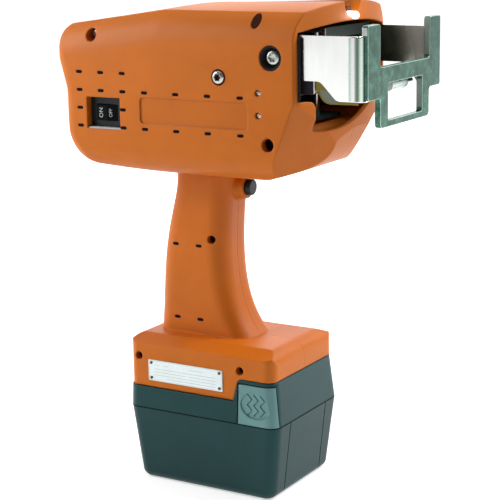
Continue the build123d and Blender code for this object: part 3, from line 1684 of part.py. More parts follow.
def make_all():
    """Every sub-part by its name."""
    right, left = halves(make_housing())
    latch = make_latch()
    latch_spring = make_latch_spring()
    liner_sheet = make_liner()
    parts = {
        "housing_right": right,
        "housing_left": left,
        "housing_screws": make_housing_screws(),
        "bracket_bushes": Compound(children=[make_bush(-1), make_bush(1)]),
        "bracket_screws": Compound(children=[make_bracket_screw(-1), make_bracket_screw(1)]),
        "bracket_arm_left": make_arm(arm_left_ledge_z, arm_left_slope_x),
        "bracket_arm_right": mirrored(make_arm(arm_right_ledge_z, arm_right_slope_x)),
        "arm_liner_left": liner_sheet,
        "arm_liner_right": mirrored(liner_sheet),
        "marking_plate": make_marking_plate(),
        "stage_chassis": make_chassis(),
        "lift_guide_rods": make_lift_guides(),
        "lift_screw": make_lift_screw(),
        "lift_motor": make_lift_motor(),
        "lift_carriage": make_lift_carriage(),
        "lift_bushes": make_lift_bushes(),
        "lift_nut": make_lift_nut(),
        "cross_guide_rods": make_cross_guides(),
        "cross_screw": make_cross_screw(),
        "cross_carriage": make_rider(),
        "cross_bushes": make_rider_bushes(),
        "cross_motor": make_rider_motor(),
        "solenoid_can": make_solenoid(),
        "stylus_nose": make_nozzle(),
        "cross_barrel": make_barrel(),
        "barrel_rod": make_barrel_rod(),
        "marking_pin": make_pin(),
        "pin_spring": make_pin_spring(),
        "sight_light": make_light(),
        "light_holder": make_light_holder(),
        "control_board": make_board(),
        "board_components": make_board_parts(),
        "power_switch_frame": make_switch_frame(),
        "power_rocker": make_rocker(),
        "trigger_button": make_trigger(),
        "trigger_spring": make_trigger_spring(),
        "trigger_switch": make_trigger_switch(),
        "nameplate": make_nameplate(),
        "nameplate_rivets": make_rivets(),
        "terminal_block": make_terminal_block(),
        "terminal_blades": make_blades(),
        "battery_lower_shell": make_pack_lower(),
        "battery_upper_shell": make_pack_upper(),
        "battery_cells": make_cells(),
        "cell_end_plates": make_cell_plates(),
        "pack_board": make_pack_board(),
        "battery_receptacles": make_receptacles(),
        "latch_right": latch,
        "latch_left": mirrored(latch),
        "latch_pins": make_latch_pins(),
        "latch_spring_right": latch_spring,
        "latch_spring_left": mirrored(latch_spring),
    }
    return parts


os.makedirs("parts", exist_ok=True)
for name, solid in make_all().items():
    export_step(solid, f"parts/{name}.step")
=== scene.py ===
import bpy
import bmesh
import json
import math
from mathutils import Matrix, Vector


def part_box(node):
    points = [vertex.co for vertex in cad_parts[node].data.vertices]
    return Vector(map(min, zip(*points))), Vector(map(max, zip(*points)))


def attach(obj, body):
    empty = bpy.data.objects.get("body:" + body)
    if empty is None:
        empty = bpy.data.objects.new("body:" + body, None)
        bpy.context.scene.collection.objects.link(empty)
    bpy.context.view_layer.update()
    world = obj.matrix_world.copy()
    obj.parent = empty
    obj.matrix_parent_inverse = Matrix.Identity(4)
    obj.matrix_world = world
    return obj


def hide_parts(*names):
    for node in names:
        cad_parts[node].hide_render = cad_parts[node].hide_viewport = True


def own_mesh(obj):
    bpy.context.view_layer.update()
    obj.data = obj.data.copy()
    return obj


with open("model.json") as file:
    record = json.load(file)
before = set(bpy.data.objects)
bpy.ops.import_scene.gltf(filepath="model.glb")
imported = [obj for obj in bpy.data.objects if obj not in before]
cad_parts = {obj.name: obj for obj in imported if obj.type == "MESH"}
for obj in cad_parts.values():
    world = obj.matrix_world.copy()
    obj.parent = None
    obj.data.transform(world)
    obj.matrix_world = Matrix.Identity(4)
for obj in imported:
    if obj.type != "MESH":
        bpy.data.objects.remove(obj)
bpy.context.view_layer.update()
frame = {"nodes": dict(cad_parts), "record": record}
nodes = frame["nodes"]
slot_of = {s["node"]: s["material_slot"] for s in frame["record"]["subparts"]}

# Places and sizes of pieces are in millimetres; lights, camera distance and shader lengths are in metres
MM = 0.001
WHITE = (1, 1, 1, 1)


def show(name, data):
    """A new object in the scene."""
    obj = bpy.data.objects.new(name, data)
    bpy.context.scene.collection.objects.link(obj)
    return obj


# Camera, as the photograph was taken. Angles are in degrees, the target in millimetres
CAMERA_AZIMUTH = 30.869
CAMERA_ELEVATION = 12.473
CAMERA_ROLL = -0.923
CAMERA_TARGET = (14.412, 0, 156.552)
CAMERA_DISTANCE = 0.999758
SENSOR_WIDTH = 36
FOCAL_PIXELS = 1509
PICTURE_PIXELS = 500
CLIP_NEAR = 0.01
CLIP_FAR = 50


def set_camera():
    """The photograph's camera."""
    az, el, roll = (math.radians(a) for a in (CAMERA_AZIMUTH, CAMERA_ELEVATION, CAMERA_ROLL))
    right = Vector((math.cos(az), math.sin(az), 0))
    back = Vector((math.sin(az) * math.cos(el), -math.cos(az) * math.cos(el), math.sin(el)))
    up = back.cross(right)
    r = right * math.cos(roll) + up * math.sin(roll)
    u = up * math.cos(roll) - right * math.sin(roll)
    place = Vector(CAMERA_TARGET) * MM + back * CAMERA_DISTANCE
    cam = bpy.data.cameras.new("photo_camera")
    cam.sensor_width = SENSOR_WIDTH
    cam.lens = SENSOR_WIDTH * FOCAL_PIXELS / PICTURE_PIXELS
    cam.clip_start = CLIP_NEAR
    cam.clip_end = CLIP_FAR
    obj = show("photo_camera", cam)
    obj.matrix_world = Matrix(((r.x, u.x, back.x, place.x), (r.y, u.y, back.y, place.y),
                               (r.z, u.z, back.z, place.z), (0, 0, 0, 1)))
    bpy.context.scene.camera = obj


set_camera()


# Shader building blocks
def empty_tree(owner):
    """The owner's node tree with nothing in it."""
    owner.use_nodes = True
    tree = owner.node_tree
    for n in list(tree.nodes):
        tree.nodes.remove(n)
    return tree


def feed(tree, value, target):
    """Gives a socket a link or a constant."""
    if isinstance(value, bpy.types.NodeSocket):
        tree.links.new(value, target)
    else:
        target.default_value = value


def new_material(name):
    """A material, its tree and its Principled shader."""
    mat = bpy.data.materials.new(name)
    tree = empty_tree(mat)
    out = tree.nodes.new("ShaderNodeOutputMaterial")
    shader = tree.nodes.new("ShaderNodeBsdfPrincipled")
    tree.links.new(shader.outputs["BSDF"], out.inputs["Surface"])
    return mat, tree, shader


def coords(tree, scale=(1, 1, 1)):
    """Object coordinates, scaled."""
    tex = tree.nodes.new("ShaderNodeTexCoord")
    mapping = tree.nodes.new("ShaderNodeMapping")
    mapping.inputs["Scale"].default_value = scale
    tree.links.new(tex.outputs["Object"], mapping.inputs["Vector"])
    return mapping.outputs["Vector"]


def noise(tree, vector, scale, detail=3.0, rough=0.55):
    """A noise value."""
    n = tree.nodes.new("ShaderNodeTexNoise")
    n.inputs["Scale"].default_value = scale
    n.inputs["Detail"].default_value = detail
    n.inputs["Roughness"].default_value = rough
    tree.links.new(vector, n.inputs["Vector"])
    return n.outputs["Fac"]


def ramp(tree, value, stops):
    """A colour ramp with stops of (position, colour)."""
    r = tree.nodes.new("ShaderNodeValToRGB")
    els = r.color_ramp.elements
    while len(els) > 1:
        els.remove(els[-1])
    els[0].position, els[0].color = stops[0]
    for pos, col in stops[1:]:
        els.new(pos).color = col
    tree.links.new(value, r.inputs["Fac"])
    return r.outputs["Color"]


def mixed(tree, a, b, factor, blend="MIX"):
    """Two colours mixed by a link or a number."""
    mix = tree.nodes.new("ShaderNodeMix")
    mix.data_type = "RGBA"
    mix.blend_type = blend
    feed(tree, factor, mix.inputs["Factor"])
    feed(tree, a, mix.inputs["A"])
    feed(tree, b, mix.inputs["B"])
    return mix.outputs["Result"]


def reckon(tree, operation, *values):
    """A math node."""
    n = tree.nodes.new("ShaderNodeMath")
    n.operation = operation
    for value, socket in zip(values, n.inputs):
        feed(tree, value, socket)
    return n.outputs[0]


def spread_range(tree, value, low, high, to_low=0.0, to_high=1.0):
    """A value carried from one range to another."""
    n = tree.nodes.new("ShaderNodeMapRange")
    for key, limit in (("From Min", low), ("From Max", high), ("To Min", to_low), ("To Max", to_high)):
        n.inputs[key].default_value = limit
    tree.links.new(value, n.inputs["Value"])
    return n.outputs["Result"]


def rounded_normal(tree, radius, samples):
    """The normal over rounded edges."""
    n = tree.nodes.new("ShaderNodeBevel")
    n.samples = samples
    n.inputs["Radius"].default_value = radius
    return n.outputs["Normal"]


def grey(v):
    """A neutral colour."""
    return (v, v, v, 1)


def shade(color, f):
    """A colour made lighter or darker."""
    return (*(min(c * f, 1) for c in color), 1)


def between(tree, value, color, low, high):
    """A colour that a value carries from a darker to a lighter shade."""
    return ramp(tree, value, [(low[0], shade(color, low[1])), (high[0], shade(color, high[1]))])


def roughen(tree, shader, value, low, high):
    """Roughness from (value, roughness) to (value, roughness)."""
    tone = ramp(tree, value, [(low[0], grey(low[1])), (high[0], grey(high[1]))])
    tree.links.new(tone, shader.inputs["Roughness"])


def bump(tree, shader, height, distance, soft=0.0):
    """Relief, with edges softened over a radius."""
    b = tree.nodes.new("ShaderNodeBump")
    b.inputs["Distance"].default_value = distance
    b.inputs["Strength"].default_value = 1.0
    tree.links.new(height, b.inputs["Height"])
    if soft:
        tree.links.new(rounded_normal(tree, soft, SOFT_EDGE_SAMPLES), b.inputs["Normal"])
    tree.links.new(b.outputs["Normal"], shader.inputs["Normal"])


# Noise scales per metre
TONE_SCALE = 38.0
CLOUD_SCALE = 60.0
STAIN_SCALE = 170.0
METAL_CLOUD_SCALE = 120.0
LENS_SCALE = 700.0
# Stretch of brushed lines along X, Y and Z
ARM_LINES = (900, 900, 60)
LINER_LINES = (900, 40, 40)
PLATE_LINES = (900, 700, 90)
LABEL_LINES = (2600, 40, 160)
CARRIAGE_LINES = (1800, 1800, 60)
# Shaded edges and relief, in metres
SOFT_EDGE_SAMPLES = 6
EDGE_HIGHLIGHT_SAMPLES = 8
EDGE_HIGHLIGHT_RADIUS = 0.0008
PLATE_SOFT_EDGE = 0.0005
PLATE_SCRATCH_DEPTH = 0.00002
SHEET_LINE_DEPTH = 0.000002
# Height at which leaning bands keep their places
LEAN_PIVOT_Z = 0.29


def moulded(name, color, rough, grain, depth, spread, spec=0.4, worn=0.12, soft=0.0, tint=WHITE):
    """Fine spark-eroded plastic with slight tone drift and lighter worn edges."""
    mat, tree, shader = new_material(name)
    v = coords(tree)
    tone = noise(tree, v, TONE_SCALE, 4.0)
    fine = noise(tree, v, grain, 2.0, 0.6)
    body = between(tree, tone, color, (0.3, 1 - spread), (0.7, 1 + spread))
    geo = tree.nodes.new("ShaderNodeNewGeometry")
    edge = ramp(tree, geo.outputs["Pointiness"], [(0.53, grey(0)), (0.62, grey(worn))])
    lift = between(tree, fine, color, (0.2, 1.35), (0.8, 1.7))
    tree.links.new(mixed(tree, body, lift, edge), shader.inputs["Base Color"])
    roughen(tree, shader, fine, (0.3, rough - 0.06), (0.7, rough + 0.06))
    shader.inputs["Specular IOR Level"].default_value = spec
    shader.inputs["Specular Tint"].default_value = tint
    bump(tree, shader, fine, depth, soft)
    return mat


def brushed(name, color, rough, stretch, depth=0.00002, spread=0.12):
    """Metal with fine lines along one axis."""
    mat, tree, shader = new_material(name)
    lines = noise(tree, coords(tree, stretch), 1.0, 4.0, 0.6)
    cloud = noise(tree, coords(tree), CLOUD_SCALE)
    body = between(tree, lines, color, (0.3, 1 - spread), (0.7, 1 + spread))
    clouded = ramp(tree, cloud, [(0.3, grey(0.8)), (0.7, grey(1.0))])
    shader.inputs["Metallic"].default_value = 1.0
    tree.links.new(mixed(tree, body, clouded, 0.35, "MULTIPLY"), shader.inputs["Base Color"])
    roughen(tree, shader, lines, (0.2, rough - 0.07), (0.8, rough + 0.09))
    bump(tree, shader, lines, depth)
    return mat


def stained_plate_edge_highlight(name, color, edge_highlight_color):
    """Ground plate with cloudy stains, upright scratches and a painted highlight along its edges."""
    mat, tree, shader = new_material(name)
    lines = noise(tree, coords(tree, PLATE_LINES), 1.0, 5.0, 0.65)
    cloud = noise(tree, coords(tree), STAIN_SCALE, 5.0, 0.7)
    shader.inputs["Metallic"].default_value = 1.0
    stained = ramp(tree, cloud, [(0.34, shade(color, 0.62)), (0.5, shade(color, 1.0)),
                                 (0.66, shade(color, 1.75))])
    scratched = ramp(tree, lines, [(0.35, grey(0.72)), (0.65, grey(1.0))])
    body = mixed(tree, stained, scratched, 0.8, "MULTIPLY")
    geo = tree.nodes.new("ShaderNodeNewGeometry")
    dot = tree.nodes.new("ShaderNodeVectorMath")
    dot.operation = "DOT_PRODUCT"
    tree.links.new(rounded_normal(tree, EDGE_HIGHLIGHT_RADIUS, EDGE_HIGHLIGHT_SAMPLES), dot.inputs[0])
    tree.links.new(geo.outputs["True Normal"], dot.inputs[1])
    # painted highlight: the colour turns bright where the rounded normal leans from the true one
    edge = ramp(tree, dot.outputs["Value"], [(0.9, grey(0.8)), (0.995, grey(0))])
    tree.links.new(mixed(tree, body, (*edge_highlight_color, 1), edge), shader.inputs["Base Color"])
    roughen(tree, shader, cloud, (0.3, 0.3), (0.7, 0.44))
    bump(tree, shader, lines, PLATE_SCRATCH_DEPTH, PLATE_SOFT_EDGE)
    return mat


# Painted reflections and shade by X: bands where the near arm folds round the plate, and painted shade along
# the far arm's inner face
FOLD_PAINTED_REFLECTIONS = [(113.6, (0.97, 0.98, 0.96)), (114.4, (0.50, 0.62, 0.56)), (115.4, (0.60, 0.72, 0.66)),
             (116.3, (0.85, 0.87, 0.84)), (117.5, (0.80, 0.83, 0.80)), (118.5, (0.30, 0.34, 0.31)),
             (119.4, (0.11, 0.18, 0.13)), (120.4, (0.16, 0.24, 0.18)), (121.4, (0.55, 0.66, 0.58)),
             (122.4, (0.80, 0.90, 0.82)), (123.2, (0.62, 0.72, 0.65)), (123.9, (0.06, 0.10, 0.08))]
FAR_ARM_PAINTED_SHADE = [(88.0, (0.14, 0.14, 0.11)), (97.0, (0.30, 0.30, 0.24)), (104.0, (0.62, 0.64, 0.52)),
             (110.0, (0.98, 1.0, 0.92)), (120.0, (1.0, 1.0, 1.0))]


def banded(name, bands, rough=0.24, slant=0.0, satin=1.0):
    """Bright sheet with painted reflections and shade in bands along X. Slant leans them with height; satin is
    how metallic the far end is.
    """
    mat, tree, shader = new_material(name)
    split = tree.nodes.new("ShaderNodeSeparateXYZ")
    tree.links.new(tree.nodes.new("ShaderNodeTexCoord").outputs["Object"], split.inputs[0])
    lean = reckon(tree, "MULTIPLY_ADD", split.outputs["Z"], slant, -slant * LEAN_PIVOT_Z)
    along = reckon(tree, "ADD", split.outputs["X"], lean)
    low, high = bands[0][0], bands[-1][0]
    place = spread_range(tree, along, low * MM, high * MM)
    tone = ramp(tree, place, [((x - low) / (high - low), (*c, 1)) for x, c in bands])
    lines = noise(tree, coords(tree, ARM_LINES), 1.0, 4.0, 0.6)
    fine = ramp(tree, lines, [(0.3, grey(0.9)), (0.7, grey(1.0))])
    tree.links.new(mixed(tree, tone, fine, 0.5, "MULTIPLY"), shader.inputs["Base Color"])
    tree.links.new(ramp(tree, place, [(0.4, grey(1)), (0.85, grey(satin))]), shader.inputs["Metallic"])
    roughen(tree, shader, lines, (0.2, rough - 0.04), (0.8, rough + 0.05))
    bump(tree, shader, lines, SHEET_LINE_DEPTH)
    return mat


def plain_metal(name, color, rough=0.25, grain=900.0, depth=0.00001):
    """Machined or drawn metal with faint tool marks."""
    mat, tree, shader = new_material(name)
    fine = noise(tree, coords(tree), grain)
    cloud = noise(tree, coords(tree), METAL_CLOUD_SCALE)
    shader.inputs["Metallic"].default_value = 1.0
    tree.links.new(between(tree, cloud, color, (0.3, 0.88), (0.7, 1.08)), shader.inputs["Base Color"])
    roughen(tree, shader, fine, (0.3, rough - 0.05), (0.7, rough + 0.07))
    bump(tree, shader, fine, depth)
    return mat


def glow(name, color, strength):
    """The lit lens."""
    mat, tree, shader = new_material(name)
    col = between(tree, noise(tree, coords(tree), LENS_SCALE, 2.0), color, (0.3, 0.97), (0.7, 1.0))
    tree.links.new(col, shader.inputs["Base Color"])
    tree.links.new(col, shader.inputs["Emission Color"])
    shader.inputs["Emission Strength"].default_value = strength
    shader.inputs["Roughness"].default_value = 0.15
    return mat


# Looks of slots and pieces. Mouldings: colour, roughness, grain per metre, its depth in metres, spread of tone.
# Brushed metal: colour, roughness, stretch of its lines, their depth in metres, spread of tone.
MATS = {
    "housing": moulded("orange_moulding", (0.60, 0.145, 0.004), 0.47, 1500.0, 0.00009, 0.05,
                       spec=0.29, soft=0.0016),
    "black_plastic": moulded("black_satin", (0.0015, 0.0025, 0.003), 0.5, 2600.0, 0.00003, 0.2,
                             spec=0.06, soft=0.0003),
    "bezel_plastic": moulded("bezel_satin", (0.006, 0.010, 0.011), 0.42, 2600.0, 0.00003, 0.2,
                             spec=0.25, soft=0.0003),
    "screw_steel": plain_metal("bright_zinc", (0.44, 0.45, 0.42), 0.24),
    # near-black steel for the screws that sit deep in holes
    "hidden_screw": plain_metal("black_oxide", (0.010, 0.005, 0.004), 0.6),
    "bush_rubber": moulded("black_rubber", (0.010, 0.010, 0.011), 0.6, 1800.0, 0.00006, 0.2,
                           spec=0.3, worn=0.05, soft=0.0004),
    "arm_steel": brushed("stainless_arm", (0.97, 0.98, 0.96), 0.2, ARM_LINES, SHEET_LINE_DEPTH, 0.02),
    "arm_fold": banded("folded_arm", FOLD_PAINTED_REFLECTIONS),
    # painted shade along the far arm's inner face, darker towards the back
    "far_arm": banded("shaded_arm", FAR_ARM_PAINTED_SHADE, 0.22, slant=0.35, satin=0.55),
    "liner_grey": brushed("liner_face", (0.15, 0.165, 0.13), 0.3, LINER_LINES, 0.00001, 0.08),
    "trigger": moulded("trigger_moulding", (0.004, 0.009, 0.009), 0.45, 2600.0, 0.00003, 0.2,
                       spec=0.3, soft=0.0004),
    "rivet": plain_metal("dark_rivet", (0.10, 0.085, 0.08), 0.4),
    "holder": moulded("holder_moulding", (0.10, 0.03, 0.012), 0.6, 1500.0, 0.00004, 0.1, spec=0.2),
    "liner_steel": brushed("liner_zinc", (0.17, 0.135, 0.03), 0.34, LINER_LINES, 0.00001, 0.08),
    "plate_steel": stained_plate_edge_highlight("ground_plate", (0.062, 0.138, 0.105), (0.5, 0.72, 0.62)),
    "chassis_steel": moulded("textured_paint", (0.022, 0.043, 0.037), 0.5, 1400.0, 0.00014, 0.2, worn=0.1),
    "rod_steel": plain_metal("ground_rod", (0.62, 0.62, 0.64), 0.14),
    "dark_steel": plain_metal("black_steel", (0.05, 0.055, 0.06), 0.3),
    "carriage_aluminium": brushed("machined_aluminium", (0.56, 0.58, 0.59), 0.36, CARRIAGE_LINES),
    "bronze": plain_metal("bearing_bronze", (0.55, 0.36, 0.16), 0.32),
    "motor_metal": moulded("motor_paint", (0.02, 0.02, 0.022), 0.38, 1800.0, 0.00004, 0.2),
    "nose_metal": plain_metal("anodised_grey", (0.50, 0.58, 0.54), 0.34),
    "spring_steel": plain_metal("spring_wire", (0.5, 0.5, 0.5)),
    "lens": glow("lit_lens", (0.95, 0.97, 1.0), 6.0),
    "board": moulded("solder_mask", (0.02, 0.16, 0.06), 0.3, 900.0, 0.00003, 0.2),
    "component": moulded("chip_epoxy", (0.03, 0.03, 0.03), 0.5, 1500.0, 0.00003, 0.2),
    "label_metal": brushed("label_aluminium", (0.60, 0.67, 0.67), 0.42, LABEL_LINES, 0.000006, 0.06),
    "contact_metal": plain_metal("plated_contact", (0.66, 0.5, 0.24), 0.2),
    "pack_plastic": moulded("slate_moulding", (0.006, 0.021, 0.025), 0.44, 1500.0, 0.00008, 0.1,
                            spec=0.42, worn=0.2, soft=0.0012, tint=(0.42, 1.0, 0.96, 1)),
    "latch_plastic": moulded("latch_moulding", (0.142, 0.305, 0.3), 0.48, 1800.0, 0.00006, 0.06,
                             worn=0.1, soft=0.0006),
    "cell_sleeve": moulded("cell_sleeve", (0.08, 0.2, 0.45), 0.3, 900.0, 0.00002, 0.1),
    "card": moulded("pressed_board", (0.34, 0.31, 0.26), 0.7, 900.0, 0.0001, 0.15),
    # near-black for the sheets of painted shade in the mouth
    "pad_black": moulded("pad_rubber", (0.018, 0.014, 0.02), 0.6, 1500.0, 0.00004, 0.2, spec=0.2),
    "ink": moulded("grey_ink", (0.26, 0.28, 0.28), 0.6, 1200.0, 0.00001, 0.2),
    # white print on the rocker, and the painted reflection on the pocket's lip
    "white_ink": moulded("white_ink", (0.55, 0.58, 0.58), 0.6, 1200.0, 0.00001, 0.05),
    "ground_edge": moulded("ground_edge", (0.34, 0.42, 0.38), 0.4, 900.0, 0.00003, 0.25, spec=0.6),
    "hole_brown": moulded("hole_brown", (0.045, 0.009, 0.003), 0.8, 1200.0, 0.00001, 0.2, spec=0.1),
    "seam_shadow": moulded("seam_black", (0.002, 0.003, 0.003), 0.8, 1200.0, 0.00001, 0.2, spec=0.1),
}
# CAD nodes that look different from their slot's own material
SPECIAL_LOOKS = {"bracket_arm_left": "far_arm", "nameplate_rivets": "rivet", "light_holder": "holder",
                 "trigger_button": "trigger"}
for name, obj in nodes.items():
    mat = MATS[SPECIAL_LOOKS.get(name, slot_of[name])]
    if not obj.material_slots:
        obj.data.materials.append(mat)
    for s in obj.material_slots:
        s.material = mat

# Edges of CAD nodes that modifiers round, by their width. Angles in degrees tell which edges are sharp
ROUNDED_NODES = {"marking_plate": 0.45, "bracket_arm_right": 0.3, "bracket_arm_left": 0.3,
                 "nameplate": 0.15, "power_rocker": 0.25, "power_switch_frame": 0.3}
WELD_GAP = 0.005
NODE_EDGE_STEPS = 3
NODE_EDGE_ANGLE = 40
PIECE_EDGE_STEPS = 2
PIECE_EDGE_ANGLE = 35
DOME_EDGE_ANGLE = 60


def bevel(obj, width, segments, angle):
    """Rounds the edges that are sharper than an angle."""
    mod = obj.modifiers.new("edge", "BEVEL")
    mod.width = width * MM
    mod.segments = segments
    mod.limit_method = "ANGLE"
    mod.angle_limit = math.radians(angle)


for name, width in ROUNDED_NODES.items():
    nodes[name].modifiers.new("weld", "WELD").merge_threshold = WELD_GAP * MM
    bevel(nodes[name], width, NODE_EDGE_STEPS, NODE_EDGE_ANGLE)

# Pieces in mesh code: the star recess of screws, steps of a full turn and of a curve, and points that merge
STAR_LOBES = 6
STAR_DEPTH = 0.13
STAR_SHARE = 0.56
TURN_STEPS = 72
CURVE_STEPS = 10
DOUBLES_GAP = 0.0005


def link(name, bm, body, mat, replaced=()):
    """Turns a bmesh in millimetres into a piece that rides on a body."""
    bmesh.ops.remove_doubles(bm, verts=bm.verts, dist=DOUBLES_GAP)
    bmesh.ops.scale(bm, vec=(MM, MM, MM), verts=bm.verts)
    bmesh.ops.recalc_face_normals(bm, faces=bm.faces)
    mesh = bpy.data.meshes.new(name)
    bm.to_mesh(mesh)
    bm.free()
    obj = show(name, mesh)
    mesh.materials.append(MATS[mat])
    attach(obj, body)
    if replaced:
        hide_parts(*replaced)
    return obj


def smooth(obj, angle=PIECE_EDGE_ANGLE):
    """Smooth shading with sharp edges kept."""
    mesh = obj.data
    for p in mesh.polygons:
        p.use_smooth = True
    mesh.set_sharp_from_angle(angle=math.radians(angle))


def edge_round(obj, width):
    """A small bevel on every sharp edge of a piece."""
    bevel(obj, width, PIECE_EDGE_STEPS, PIECE_EDGE_ANGLE)
    smooth(obj)


def join_rings(bm, pairs):
    """Faces between pairs of rings of points."""
    for a, b in pairs:
        for i in range(len(a)):
            j = (i + 1) % len(a)
            bm.faces.new((a[i], a[j], b[j], b[i]))


def star(radius):
    """Radius round a six-lobed recess."""
    return lambda t: radius * (1 - STAR_DEPTH + STAR_DEPTH * math.cos(STAR_LOBES * t))


def turned(bm, centre, rings, out=1, along_x=False):
    """A closed form turned about a line along Y or X. Rings are (height, radius or radius by angle)."""
    cx, cy, cz = centre
    loops = []
    for height, radius in rings:
        loop = []
        for i in range(TURN_STEPS):
            t = 2 * math.pi * i / TURN_STEPS
            r = radius(t) if callable(radius) else radius
            a, b = r * math.cos(t), r * math.sin(t)
            step = out * height
            loop.append(bm.verts.new((cx + step, cy + a, cz + b) if along_x else (cx + a, cy + step, cz + b)))
        loops.append(loop)
    join_rings(bm, zip(loops, loops[1:]))
    bm.faces.new(loops[0])
    bm.faces.new(loops[-1][::-1])


def turned_piece(name, centre, rings, out, mat, replaced=()):
    """A turned piece on the tool."""
    bm = bmesh.new()
    turned(bm, centre, rings, out)
    smooth(link(name, bm, "tool", mat, replaced))


def screw_rings(radius, height, shank, length):
    """A button head with a six-lobed recess on its shank."""
    s = STAR_SHARE * radius
    return [
        (-length, shank * 0.6), (-length + 1.2, shank), (0, shank), (0, radius * 0.97), (0.12, radius),
        (0.45 * height, radius), (0.68 * height, radius * 0.965), (0.86 * height, radius * 0.87),
        (0.97 * height, radius * 0.74), (height, radius * 0.64), (height, star(s * 1.06)),
        (0.93 * height, star(s)), (0.42 * height, star(s * 0.97)), (0.34 * height, 0.2 * s),
        (0.33 * height, 0.02),
    ]


# Clamshell screws: x, seat y, z, head radius and height, material
SHELL_SCREWS = [
    ("rear", -70.5, -44.25, 299.8, 3.7, 3.0, "screw_steel"),
    ("mid", 26.3, -52.9, 276.6, 4.2, 3.0, "screw_steel"),
    ("top", 51.0, -44.25, 309.3, 2.3, 1.8, "hidden_screw"),
    ("chin", 60.5, -49.0, 236.7, 3.7, 2.0, "hidden_screw"),
    ("grip", -4.5, -13.9, 165.2, 2.3, 1.8, "hidden_screw"),
    ("base_rear", -48.9, -35.8, 86.2, 2.3, 1.8, "hidden_screw"),
    ("base_front", 29.8, -35.8, 86.2, 2.3, 1.8, "hidden_screw"),
]
SHELL_SCREW_SHANK = 1.75
SHELL_SCREW_LENGTH = 26.0
for name, x, y, z, radius, height, mat in SHELL_SCREWS:
    turned_piece("shell_screw_" + name, (x, y, z),
                 screw_rings(radius, height, SHELL_SCREW_SHANK, SHELL_SCREW_LENGTH), -1, mat,
                 ("housing_screws",))

# Bracket screws in cupped rubber bushes, one pair on each side
BRACKET_X = 63.0
BRACKET_Z = 289.4
BRACKET_SCREW_Y = 49.7
BUSH_Y = 48.5
BRACKET_SCREW_RINGS = screw_rings(4.75, 2.3, 2.5, 5.4)
BUSH_RINGS = [(0, 2.9), (0, 7.3), (0.4, 7.7), (4.9, 7.7), (5.35, 7.45), (5.5, 7.1), (5.4, 6.85), (5.0, 6.6),
              (3.6, 6.2), (1.9, 5.6), (1.2, 5.3), (1.2, 2.9), (0.02, 2.9)]
for side, out in (("right", -1), ("left", 1)):
    turned_piece("bracket_screw_" + side, (BRACKET_X, out * BRACKET_SCREW_Y, BRACKET_Z),
                 BRACKET_SCREW_RINGS, out, "screw_steel", ("bracket_screws",))
    turned_piece("bush_" + side, (BRACKET_X, out * BUSH_Y, BRACKET_Z), BUSH_RINGS, out,
                 "bush_rubber", ("bracket_bushes",))


def smooth_path(points):
    """A closed run through points. Those with a third value are joined by Catmull-Rom curves."""
    out = []
    n = len(points)
    for i in range(n):
        p1, p2 = points[i], points[(i + 1) % n]
        if len(p1) > 2 and len(p2) > 2:
            p0, p3 = points[i - 1], points[(i + 2) % n]
            for k in range(CURVE_STEPS):
                t = k / CURVE_STEPS
                out.append(tuple(0.5 * (2 * p1[c] + (p2[c] - p0[c]) * t
                                        + (2 * p0[c] - 5 * p1[c] + 4 * p2[c] - p3[c]) * t * t
                                        + (3 * p1[c] - p0[c] - 3 * p2[c] + p3[c]) * t ** 3) for c in (0, 1)))
        else:
            out.append((p1[0], p1[1]))
    return out


def slab_xz(bm, outline, y0, y1):
    """An outline in X and Z, given thickness along Y."""
    near = [bm.verts.new((x, y0, z)) for x, z in outline]
    far = [bm.verts.new((x, y1, z)) for x, z in outline]
    join_rings(bm, [(near, far)])
    bm.faces.new(near)
    bm.faces.new(far[::-1])


def box_outline(x0, x1, z0, z1):
    """A rectangle in X and Z."""
    return [(x0, z0), (x1, z0), (x1, z1), (x0, z1)]


def slab_piece(name, outline, y0, y1, mat, slot, edge, replaced=()):
    """A slab with rounded edges on the tool."""
    bm = bmesh.new()
    slab_xz(bm, outline, y0, y1)
    edge_round(link(name, bm, "tool", mat, replaced), edge)


# Inner sheets that stiffen the arms
LINER_RIGHT = [(73.0, 299.0), (73.0, 269.6), (88.4, 269.6), (90.0, 270.6), (91.7, 267.9, 0), (95.0, 263.9, 0),
               (99.4, 262.5, 0), (104.0, 262.6), (117.5, 262.9), (117.5, 299.0)]
LINER_LEFT = [(73.0, 299.0), (73.0, 280.5), (84.0, 280.5), (86.5, 283.0, 0), (86.5, 287.0, 0), (86.5, 299.0)]
LINER_OUTER_Y = 46.5
LINER_INNER_Y = 45.0
for side, out, outline in (("right", -1, LINER_RIGHT), ("left", 1, LINER_LEFT)):
    slab_piece("liner_" + side, smooth_path(outline), out * LINER_OUTER_Y, out * LINER_INNER_Y,
               "liner_steel", "liner_steel", 0.2, ("arm_liner_" + side,))

